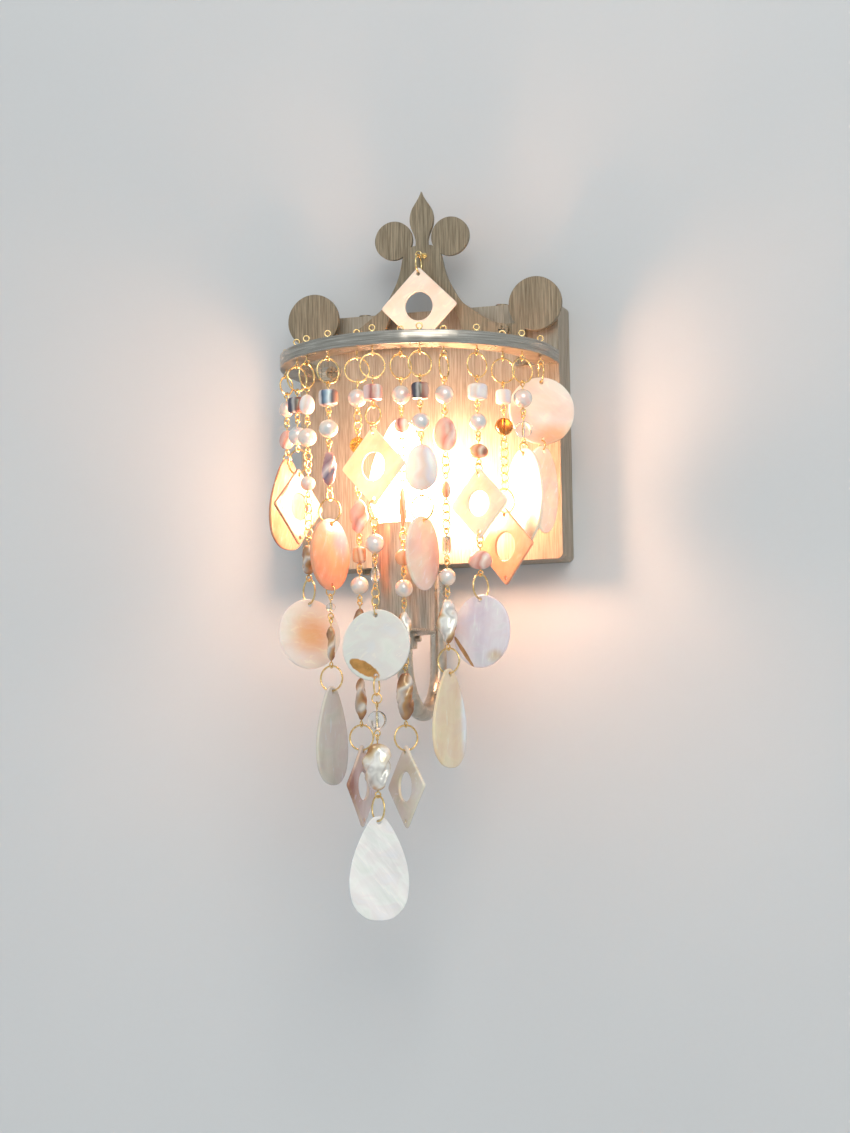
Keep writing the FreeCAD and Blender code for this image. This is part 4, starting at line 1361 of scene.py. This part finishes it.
MILK_BAND = BandedShell("milky banded shell", (
    (0.0, "#f8e4d8"), (0.4, "#fcf2ea"), (0.62, "#f5dccc"), (0.8, "#ecdfe2"), (1.0, "#f9ece2")),
    waviness=0.3, glow=0.5)
ORANGE_SHELL = BandedShell("orange tumbled shell", (
    (0.0, "#f0ac78"), (0.45, "#f6c498"), (0.62, "#e08e5c"), (0.82, "#f8dcc2"), (1.0, "#a87456")),
    waviness=0.4, glow=0.45, per_metre=80.0)
SALMON_SHELL = BandedShell("salmon tumbled shell", (
    (0.0, "#e4a894"), (0.4, "#f2c6b4"), (0.62, "#dc9684"), (0.82, "#f9e0d4"), (1.0, "#e8b4a0")),
    turn=25.0, waviness=0.4, glow=0.45, per_metre=80.0)
PLUM_SHELL = BandedShell("plum tumbled shell", (
    (0.0, "#d8a896"), (0.3, "#a87a80"), (0.5, "#ecd4cc"), (0.7, "#8a7488"), (1.0, "#c89484")),
    turn=60.0, waviness=0.3, per_metre=80.0)
BROWN_SHELL = BandedShell("brown lustrous tumbled shell", (
    (0.0, "#8a5f40"), (0.3, "#c09468"), (0.46, "#e9dccb"), (0.6, "#c2b6ac"), (0.78, "#b98a5a"),
    (1.0, "#8f6448")), turn=50.0, waviness=0.6, roughness=0.12, per_metre=110.0, lustre=0.15)
SILVER_SHELL = BandedShell("silver baroque shell", (
    (0.0, "#b07c48"), (0.22, "#e0c8a4"), (0.4, "#faf6ee"), (0.56, "#cfcac4"), (0.7, "#f6f0e6"),
    (0.86, "#d2ac7c"), (1.0, "#a87c50")), turn=40.0, waviness=0.65, roughness=0.08,
    per_metre=110.0, lustre=0.2)

WHITE_NACRE = Nacre("white mother-of-pearl", "#fafaf7", "#e4e7e6", band_turn=-38.0,
                    band_stretch=(0.4, 2.2), streaks=0.6, ridge_mm=1.0, seed=3.1, glow=0.35)
CREAM_NACRE = Nacre("cream mother-of-pearl", "#fbe9d6", "#f6dcc4", seed=1.7, glow=0.75)
GREY_NACRE = Nacre("grey mother-of-pearl", "#d9d3c8", "#cdc6ba", streak="#e6e2da", streaks=0.12,
                   band_turn=80.0, seed=5.2, glow=0.15)
BEIGE_NACRE = Nacre("beige mother-of-pearl", "#f0dcbc", "#ebd0a8", cloud="#f0f2f0",
                    cloud_at=(0.85, 0.2), cloud_size=(0.3, 1.2), streak="#f4ecdc", streaks=0.1,
                    band_turn=78.0, seed=6.4, glow=0.2)
SAND_NACRE = Nacre("sand mother-of-pearl", "#eae0d0", "#dccdb6", streak="#f6eee0", band_turn=20.0,
                   seed=7.9, glow=0.3)
PEACH_NACRE = Nacre("peach mother-of-pearl", "#f8eee6", "#f4e0d2", cloud="#f1bf94",
                    cloud_at=(0.02, 0.0), cloud_size=(0.72, 0.62), band_turn=0.0, seed=2.3, glow=0.4)
BLUSH_NACRE = Nacre("blush mother-of-pearl", "#faeee4", "#f6e0d2", cloud="#f6c8a2",
                    cloud_at=(0.35, -0.75), cloud_size=(0.8, 0.42), band_turn=-30.0, seed=4.6,
                    glow=0.55)
ROSE_NACRE = Nacre("rose-beige mother-of-pearl", "#f6e2d0", "#efd4c0", cloud="#dcc4b4",
                   cloud_at=(0.7, -0.1), cloud_size=(0.5, 0.9), seed=5.7, glow=0.6)
PENDANT_NACRE = Nacre("pale peach mother-of-pearl", "#f6e8dc", "#efdac8", seed=4.6, glow=0.35)
SALMON_NACRE = Nacre("salmon mother-of-pearl", "#efb28c", "#e2987a", cloud="#b795a6",
                     cloud_at=(0.5, 0.45), cloud_size=(0.55, 0.6), streak="#fbe8dc",
                     band_turn=70.0, seed=8.8, glow=0.5)
LAMPLIT_NACRE = Nacre("peach mother-of-pearl next to the lamp", "#cfa183", "#c28d6c",
                      cloud="#d0b298", cloud_at=(0.0, 0.3), cloud_size=(0.5, 0.6),
                      band_turn=60.0, seed=3.7, glow=0.75)
LILAC_NACRE = Nacre("lilac mother-of-pearl", "#efe8ec", "#ddd2de", streak="#f8f6f8",
                    patch="#c69468", patch_at=(-0.62, -0.50), patch_size=(0.62, 0.07),
                    patch_turn=52.0, cloud="#d8bfa8", cloud_at=(0.5, -0.7), cloud_size=(0.3, 0.2),
                    band_turn=80.0, band_stretch=(0.5, 1.8), streaks=0.4, seed=9.3, glow=0.25)
PALE_NACRE = Nacre("pale mother-of-pearl with shell skin", "#e8e8e2", "#dfe1dd",
                   streak="#f2f1ec", streaks=0.08, patch="#c68f55", patch_at=(-0.34, -0.62),
                   patch_size=(0.52, 0.19), patch_turn=30.0, seed=2.9, glow=0.15)
AMBER_NACRE = Nacre("amber mother-of-pearl", "#eab48e", "#dd9674", streak="#fbe2cc",
                    band_turn=64.0, seed=4.1, glow=0.6)
DUSK_NACRE = Nacre("dusk mother-of-pearl", "#e6d9ce", "#c9a690", cloud="#a87460",
                   cloud_at=(-0.9, 0.0), cloud_size=(0.5, 1.0), streak="#efe6de",
                   band_turn=66.0, seed=6.9, glow=0.2)


# --------------------------------------------------------------------------
# Sub-assemblies
# --------------------------------------------------------------------------

class MetalBody:
    """The nodes whose own meshes are shown, with their finishes."""

    FINISHES = {
        CROWN_STEEL: ("crown_plate", "fixing_screws"),
        BOX_STEEL: ("back_box",),
        SILVER_HOOP: ("hoop_tube", "hoop_end_plates"),
        SILVER_CUP: ("lamp_cup", "cup_ferrule"),
        STEEL_ARM: ("arm_tube", "arm_nuts"),
        GOLD_WIRE: ("eye_pins", "pendant_ring", "crown_spacers"),
        ZINC_SHEET: ("wall_bracket",),
        CAP_METAL: ("bulb_cap",),
        CONTACT_BRASS: ("holder_contacts",),
        HOLDER_PORCELAIN: ("lamp_holder",),
        TERMINAL_PLASTIC: ("terminal_block",),
        LEAD_SLEEVE: ("lamp_lead",),
        LAMP_GLASS: ("bulb_glass",),
        LAMP_COIL: ("bulb_filament",),
    }

    SOFT_EDGE_MM = {"crown_plate": 0.35, "hoop_tube": 0.5}

    def dress(self) -> None:
        """Give each node its finish, and round the edges of the sheet parts."""
        for finish, nodes in self.FINISHES.items():
            material = shared_material(finish)
            for node in nodes:
                dress_node(node, material)
            LOG.info("%s on %s", finish.name, ", ".join(nodes))
        for node, width_mm in self.SOFT_EDGE_MM.items():
            soften_edges(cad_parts[node], width_mm * MM)


def soften_edges(piece: bpy.types.Object, width: float) -> None:
    """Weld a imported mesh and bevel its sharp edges, so that they catch the light as filed edges do.

    Args:
        piece: The node's object.
        width: The bevel's width in metres.
    """
    weld = piece.modifiers.new("weld", "WELD")
    weld.merge_threshold = 0.004 * MM
    bevel = piece.modifiers.new("soft edges", "BEVEL")
    bevel.width, bevel.segments = width, 2
    bevel.limit_method, bevel.angle_limit = "ANGLE", SHARP_ANGLE
    bevel.harden_normals = True


def dress_node(node: str, material: bpy.types.Material) -> None:
    """Put a material on a node of the frame.

    Args:
        node: The node's name.
        material: The material.
    """
    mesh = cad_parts[node].data
    mesh.materials.clear()
    mesh.materials.append(material)


@dataclass(frozen=True)
class StrandLook:
    """What hangs on one strand, from the top down."""

    name: str
    beads: tuple[BeadLook, ...]
    plates: tuple[PlateLook, ...]


ROUND, BARREL, NUGGET = BeadForm.ROUND, BeadForm.BARREL, BeadForm.NUGGET
ALMOND, GEM, FILIGREE = BeadForm.ALMOND, BeadForm.GEM, BeadForm.FILIGREE
DIAMOND, DROP, OVAL = PlateForm.DIAMOND, PlateForm.DROP, PlateForm.OVAL

PEARL = BeadLook(ROUND, PEARL_WHITE)
CREAM_PEARL = BeadLook(ROUND, PEARL_CREAM)
MILK_PEARL = BeadLook(ROUND, PEARL_MILK)
DARK_BARREL = BeadLook(BARREL, DARK_BAND)
MILK_BARREL = BeadLook(BARREL, MILK_BAND)
MILK_ALMOND = BeadLook(ALMOND, MILK_BAND)
SALMON_ALMOND = BeadLook(ALMOND, SALMON_SHELL)
ORANGE_ALMOND = BeadLook(ALMOND, ORANGE_SHELL)
ORANGE_NUGGET = BeadLook(NUGGET, ORANGE_SHELL)
SALMON_NUGGET = BeadLook(NUGGET, SALMON_SHELL)
PLUM_NUGGET = BeadLook(NUGGET, PLUM_SHELL)
BROWN_NUGGET = BeadLook(NUGGET, BROWN_SHELL)
SILVER_NUGGET = BeadLook(NUGGET, SILVER_SHELL)
GOLD_BALL = BeadLook(FILIGREE, GOLD_CAST)
CRYSTAL = BeadLook(GEM, CLEAR_GLASS)
GLASS_BALL = BeadLook(ROUND, CLEAR_GLASS)

STRANDS = (
    StrandLook("strand_01", (BeadLook(ALMOND, PEARL_CREAM), SALMON_ALMOND),
               (PlateLook("peach_drop", DROP, LAMPLIT_NACRE),)),
    StrandLook("strand_02", (DARK_BARREL, PEARL),
               (PlateLook("peach_diamond", DIAMOND, LAMPLIT_NACRE, 0.5),)),
    StrandLook("strand_03", (MILK_ALMOND, MILK_PEARL, CREAM_PEARL, BROWN_NUGGET),
               (PlateLook("peach_disc", OVAL, PEACH_NACRE, 1.6),)),
    StrandLook("strand_04", (BeadLook(BARREL, BLUE_BAND), MILK_PEARL, PLUM_NUGGET, GLASS_BALL,
                             BROWN_NUGGET),
               (PlateLook("salmon_disc", OVAL, SALMON_NACRE, 1.4),
                PlateLook("grey_drop", DROP, GREY_NACRE, 1.0))),
    StrandLook("strand_05", (PEARL, GOLD_BALL, SALMON_NUGGET, BeadLook(BARREL, ORANGE_SHELL),
                             MILK_PEARL, BROWN_NUGGET, BROWN_NUGGET),
               (PlateLook("dusk_diamond", DIAMOND, DUSK_NACRE, 0.5),)),
    StrandLook("strand_06", (BeadLook(BARREL, RED_BAND), PEARL, CRYSTAL, GLASS_BALL, SILVER_NUGGET),
               (PlateLook("cream_diamond", DIAMOND, CREAM_NACRE, 0.5),
                PlateLook("pale_disc", OVAL, PALE_NACRE, 1.2),
                PlateLook("white_drop", DROP, WHITE_NACRE, 1.3))),
    StrandLook("strand_07", (PEARL, BeadLook(ROUND, RED_BAND), ORANGE_NUGGET,
                             BeadLook(ROUND, ORANGE_SHELL), MILK_PEARL, SILVER_NUGGET, BROWN_NUGGET),
               (PlateLook("sand_diamond", DIAMOND, SAND_NACRE, 0.5),)),
    StrandLook("strand_08", (DARK_BARREL, PEARL, MILK_ALMOND),
               (PlateLook("rose_disc", OVAL, ROSE_NACRE, 1.5),)),
    StrandLook("strand_09", (PEARL, SALMON_ALMOND, ORANGE_ALMOND, BeadLook(BARREL, CLEAR_GLASS),
                             MILK_PEARL, SILVER_NUGGET),
               (PlateLook("beige_drop", DROP, BEIGE_NACRE, 1.0),)),
    StrandLook("strand_10", (MILK_BARREL, PEARL, ORANGE_ALMOND, SALMON_ALMOND),
               (PlateLook("honey_diamond", DIAMOND, CREAM_NACRE, 0.5),
                PlateLook("lilac_disc", OVAL, LILAC_NACRE, 1.5))),
    StrandLook("strand_11", (MILK_BARREL, BeadLook(ROUND, AMBER_GLASS)),
               (PlateLook("amber_diamond", DIAMOND, AMBER_NACRE, 0.5),)),
    StrandLook("strand_12", (PEARL, BeadLook(ALMOND, CLEAR_GLASS)),
               (PlateLook("white_oval", OVAL, CREAM_NACRE, -0.6),)),
    StrandLook("strand_13", (),
               (PlateLook("blush_round", OVAL, BLUSH_NACRE, 1.3),
                PlateLook("cream_oval", OVAL, CREAM_NACRE, 1.3))),
)


def counted_solids(node: str, count: int) -> list[np.ndarray]:
    """A node's solids from the top one down, where their number is known.

    Args:
        node: The node's name.
        count: How many solids it has to have.

    Returns:
        The points of each solid.
    """
    solids = solids_by_height(node)
    if len(solids) != count:
        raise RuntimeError(f"{node} has {len(solids)} solids, not {count}")
    return solids


class ShellStrand:
    """One strand: gold wires as packed, beads and plates rebuilt."""

    SEEDS_EACH = 20

    def __init__(self, shown: StrandLook, number: int) -> None:
        """Keep what the strand shows.

        Args:
            shown: The strand's beads and plates.
            number: The strand's number, which seeds its unevenness.
        """
        self.shown, self.first_seed = shown, number * self.SEEDS_EACH

    def build(self) -> None:
        """Dress the wires, then build the beads and the plates."""
        dress_node(f"{self.shown.name}_wires", shared_material(GOLD_WIRE))
        if self.shown.beads:
            self._build_beads()
        self._build_plates()
        LOG.info("%s: %d beads, %d plates", self.shown.name, len(self.shown.beads),
                 len(self.shown.plates))

    def _build_beads(self) -> None:
        """Make all the strand's beads as one piece, a material slot for each finish."""
        node = f"{self.shown.name}_beads"
        solids = counted_solids(node, len(self.shown.beads))
        finishes = list(dict.fromkeys(bead.finish for bead in self.shown.beads))
        draft = MeshDraft()
        for k, (bead, solid) in enumerate(zip(self.shown.beads, solids)):
            Bead(bead, solid, self.first_seed + k).add_to(draft, finishes.index(bead.finish))
        piece = draft.build(f"{self.shown.name}_bead_row", [shared_material(f) for f in finishes])
        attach(piece, self.shown.name)
        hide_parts(node)

    def _build_plates(self) -> None:
        """Make each shell plate as a piece of its own."""
        node = f"{self.shown.name}_plates"
        solids = counted_solids(node, len(self.shown.plates))
        for k, (plate, solid) in enumerate(zip(self.shown.plates, solids)):
            lower = k < len(solids) - 1 or plate.form is DIAMOND
            made = ShellPlate(plate, solid, lower, self.first_seed + k)
            piece = made.build(f"{self.shown.name}_{plate.name}")
            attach(piece, self.shown.name)
            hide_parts(node)


class CrownPendant:
    """The shell diamond that hangs in front of the crown."""

    LOOK = PlateLook("crown_diamond", DIAMOND, PENDANT_NACRE, 0.5)
    SEED = 900

    def build(self) -> None:
        """Make the diamond over its solid."""
        solid = counted_solids("pendant_plate", 1)[0]
        piece = ShellPlate(self.LOOK, solid, False, self.SEED).build("crown_pendant_diamond")
        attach(piece, "crown_pendant")
        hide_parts("pendant_plate")
        LOG.info("crown pendant")


# --------------------------------------------------------------------------
# Room, light and camera
# --------------------------------------------------------------------------

@dataclass
class Room:
    """The pale plastered wall that the sconce hangs on, and the floor far below."""

    half_width: float = 1.7
    wall_top: float = 2.0
    wall_gap: float = 0.0004
    floor_drop: float = 1.15
    floor_depth: float = 3.2
    wall_colour: str = "#d3d5d6"
    cells: int = 8

    def build(self) -> None:
        """Make wall and floor as flat grids."""
        wall = self._sheet("room_wall", lambda s, t: (s, 0.0 * s + self.wall_gap, t),
                           (-self.half_width, self.half_width), (-self.floor_drop, self.wall_top))
        floor = self._sheet("room_floor", lambda s, t: (s, t, 0.0 * s - self.floor_drop),
                            (-self.half_width, self.half_width), (-self.floor_depth, 0.0))
        LOG.info("room")

    def _sheet(self, name: str, place: Callable, across: tuple[float, float],
               along: tuple[float, float]) -> bpy.types.Object:
        """A flat grid over two ranges.

        Args:
            name: The object's name.
            place: Function from the two parameters to x, y and z.
            across: Range of the first parameter.
            along: Range of the second.

        Returns:
            The sheet's object.
        """
        lines = self.cells + 1
        s, t = np.meshgrid(np.linspace(*across, lines), np.linspace(*along, lines))
        points = np.stack([a + 0.0 * s for a in place(s, t)], axis=-1).reshape(-1, 3)
        index = np.arange(lines * lines).reshape(lines, lines)
        quads = np.stack([index[:-1, :-1], index[:-1, 1:], index[1:, 1:], index[1:, :-1]],
                         axis=-1).reshape(-1, 4)
        mesh = bpy.data.meshes.new(name)
        mesh.from_pydata(points.tolist(), [], quads.tolist())
        mesh.materials.append(self._plaster(name))
        sheet = bpy.data.objects.new(name, mesh)
        bpy.context.scene.collection.objects.link(sheet)
        return sheet

    def _plaster(self, name: str) -> bpy.types.Material:
        """Painted plaster, seen only from the room's side.

        Args:
            name: The name of what is plastered.

        Returns:
            The material.
        """
        material, tree, shader = blank_material(f"{name} plaster")
        clouds = noise(tree, object_pattern(tree, (2.2, 2.2, 2.2)), 3.0)
        base = linear(self.wall_colour)
        colour = ramp(tree, clouds, [(0.35, darkened(base, 0.95)), (0.65, base)])
        tree.links.new(colour, shader.inputs["Base Color"])
        grit = noise(tree, object_pattern(tree, (260.0, 260.0, 260.0)), 4.0)
        emboss(tree, shader, grit, 0.15, 0.2)
        set_sockets(shader, Roughness=0.85)
        behind = add(tree, "ShaderNodeNewGeometry").outputs["Backfacing"]
        clear = add(tree, "ShaderNodeBsdfTransparent")
        output = next(n for n in tree.nodes if n.type == "OUTPUT_MATERIAL")
        either = add(tree, "ShaderNodeMixShader", {
            0: behind, 1: shader.outputs["BSDF"], 2: clear.outputs["BSDF"]})
        tree.links.new(either.outputs["Shader"], output.inputs["Surface"])
        return material


@dataclass
class StudioLight:
    """Plain soft daylight: an even sky and one broad panel to the upper right."""

    sky: str = "#dfe6ea"
    sky_strength: float = 0.86
    panel: str = "#fff8f0"
    panel_watts: float = 34.0
    panel_size: float = 2.0
    panel_at: tuple[float, float, float] = (1.1, -2.5, 1.3)
    panel_target: tuple[float, float, float] = (0.1, 0.0, -0.1)

    def build(self) -> None:
        """Make the world and the panel."""
        scene = bpy.context.scene
        world = bpy.data.worlds.new("soft sky")
        world.use_nodes = True
        scene.world = world
        background = world.node_tree.nodes["Background"]
        background.inputs["Color"].default_value = linear(self.sky)
        background.inputs["Strength"].default_value = self.sky_strength
        lamp = bpy.data.lights.new("soft panel", "AREA")
        lamp.shape, lamp.size, lamp.energy = "DISK", self.panel_size, self.panel_watts
        lamp.color = linear(self.panel)[:3]
        holder = bpy.data.objects.new("soft panel", lamp)
        scene.collection.objects.link(holder)
        holder.matrix_world = facing_matrix(self.panel_at, self.panel_target)
        LOG.info("light")


def facing_matrix(at: tuple[float, float, float], target: tuple[float, float, float]) -> Matrix:
    """A placement that looks from one point to another, -Z forwards and Y up.

    Args:
        at: Where it stands.
        target: What it looks at.

    Returns:
        The placement.
    """
    forward = np.array(target) - np.array(at)
    forward = forward / np.linalg.norm(forward)
    right = np.cross(forward, UPWARD)
    right = right / np.linalg.norm(right)
    return frame_matrix(right, np.cross(right, forward), forward, np.array(at))


def frame_matrix(right: np.ndarray, up: np.ndarray, forward: np.ndarray, at: np.ndarray) -> Matrix:
    """A placement from its axes: X right, Y up, -Z forward.

    Args:
        right: Unit vector to the right.
        up: Unit vector upwards.
        forward: Unit vector to the front.
        at: Where it stands.

    Returns:
        The placement.
    """
    columns = np.eye(4)
    columns[:3, 0], columns[:3, 1], columns[:3, 2], columns[:3, 3] = right, up, -forward, at
    return Matrix(columns.tolist())


@dataclass
class PhotoCamera:
    """The camera where the photograph was taken from."""

    at_mm: tuple[float, float, float] = (496.53, -1517.30, -246.97)
    yaw: float = 18.485
    pitch: float = 6.360
    roll: float = -0.8663
    lens: float = 92.07
    sensor: float = 36.0
    clip: tuple[float, float] = (0.05, 30.0)

    def build(self) -> None:
        """Make the camera and set it as the scene's."""
        yaw, pitch, roll = (math.radians(a) for a in (self.yaw, self.pitch, self.roll))
        level = np.array([-math.sin(yaw), math.cos(yaw), 0.0])
        side = np.array([math.cos(yaw), math.sin(yaw), 0.0])
        forward = level * math.cos(pitch) + UPWARD * math.sin(pitch)
        raised = UPWARD * math.cos(pitch) - level * math.sin(pitch)
        right = side * math.cos(roll) + raised * math.sin(roll)
        top = raised * math.cos(roll) - side * math.sin(roll)
        data = bpy.data.cameras.new("photo camera")
        data.lens, data.sensor_width = self.lens, self.sensor
        data.clip_start, data.clip_end = self.clip
        camera = bpy.data.objects.new("photo camera", data)
        bpy.context.scene.collection.objects.link(camera)
        camera.matrix_world = frame_matrix(right, top, forward, np.array(self.at_mm) * MM)
        bpy.context.scene.camera = camera
        LOG.info("camera")


def main() -> None:
    """Build every sub-assembly, the room, the light and the camera."""
    logging.basicConfig(level=logging.INFO, format="%(message)s")
    bpy.context.scene.view_settings.view_transform = "Standard"
    MetalBody().dress()
    for number, shown in enumerate(STRANDS, start=1):
        ShellStrand(shown, number).build()
    CrownPendant().build()
    Room().build()
    StudioLight().build()
    PhotoCamera().build()


if __name__ == "__main__":
    main()
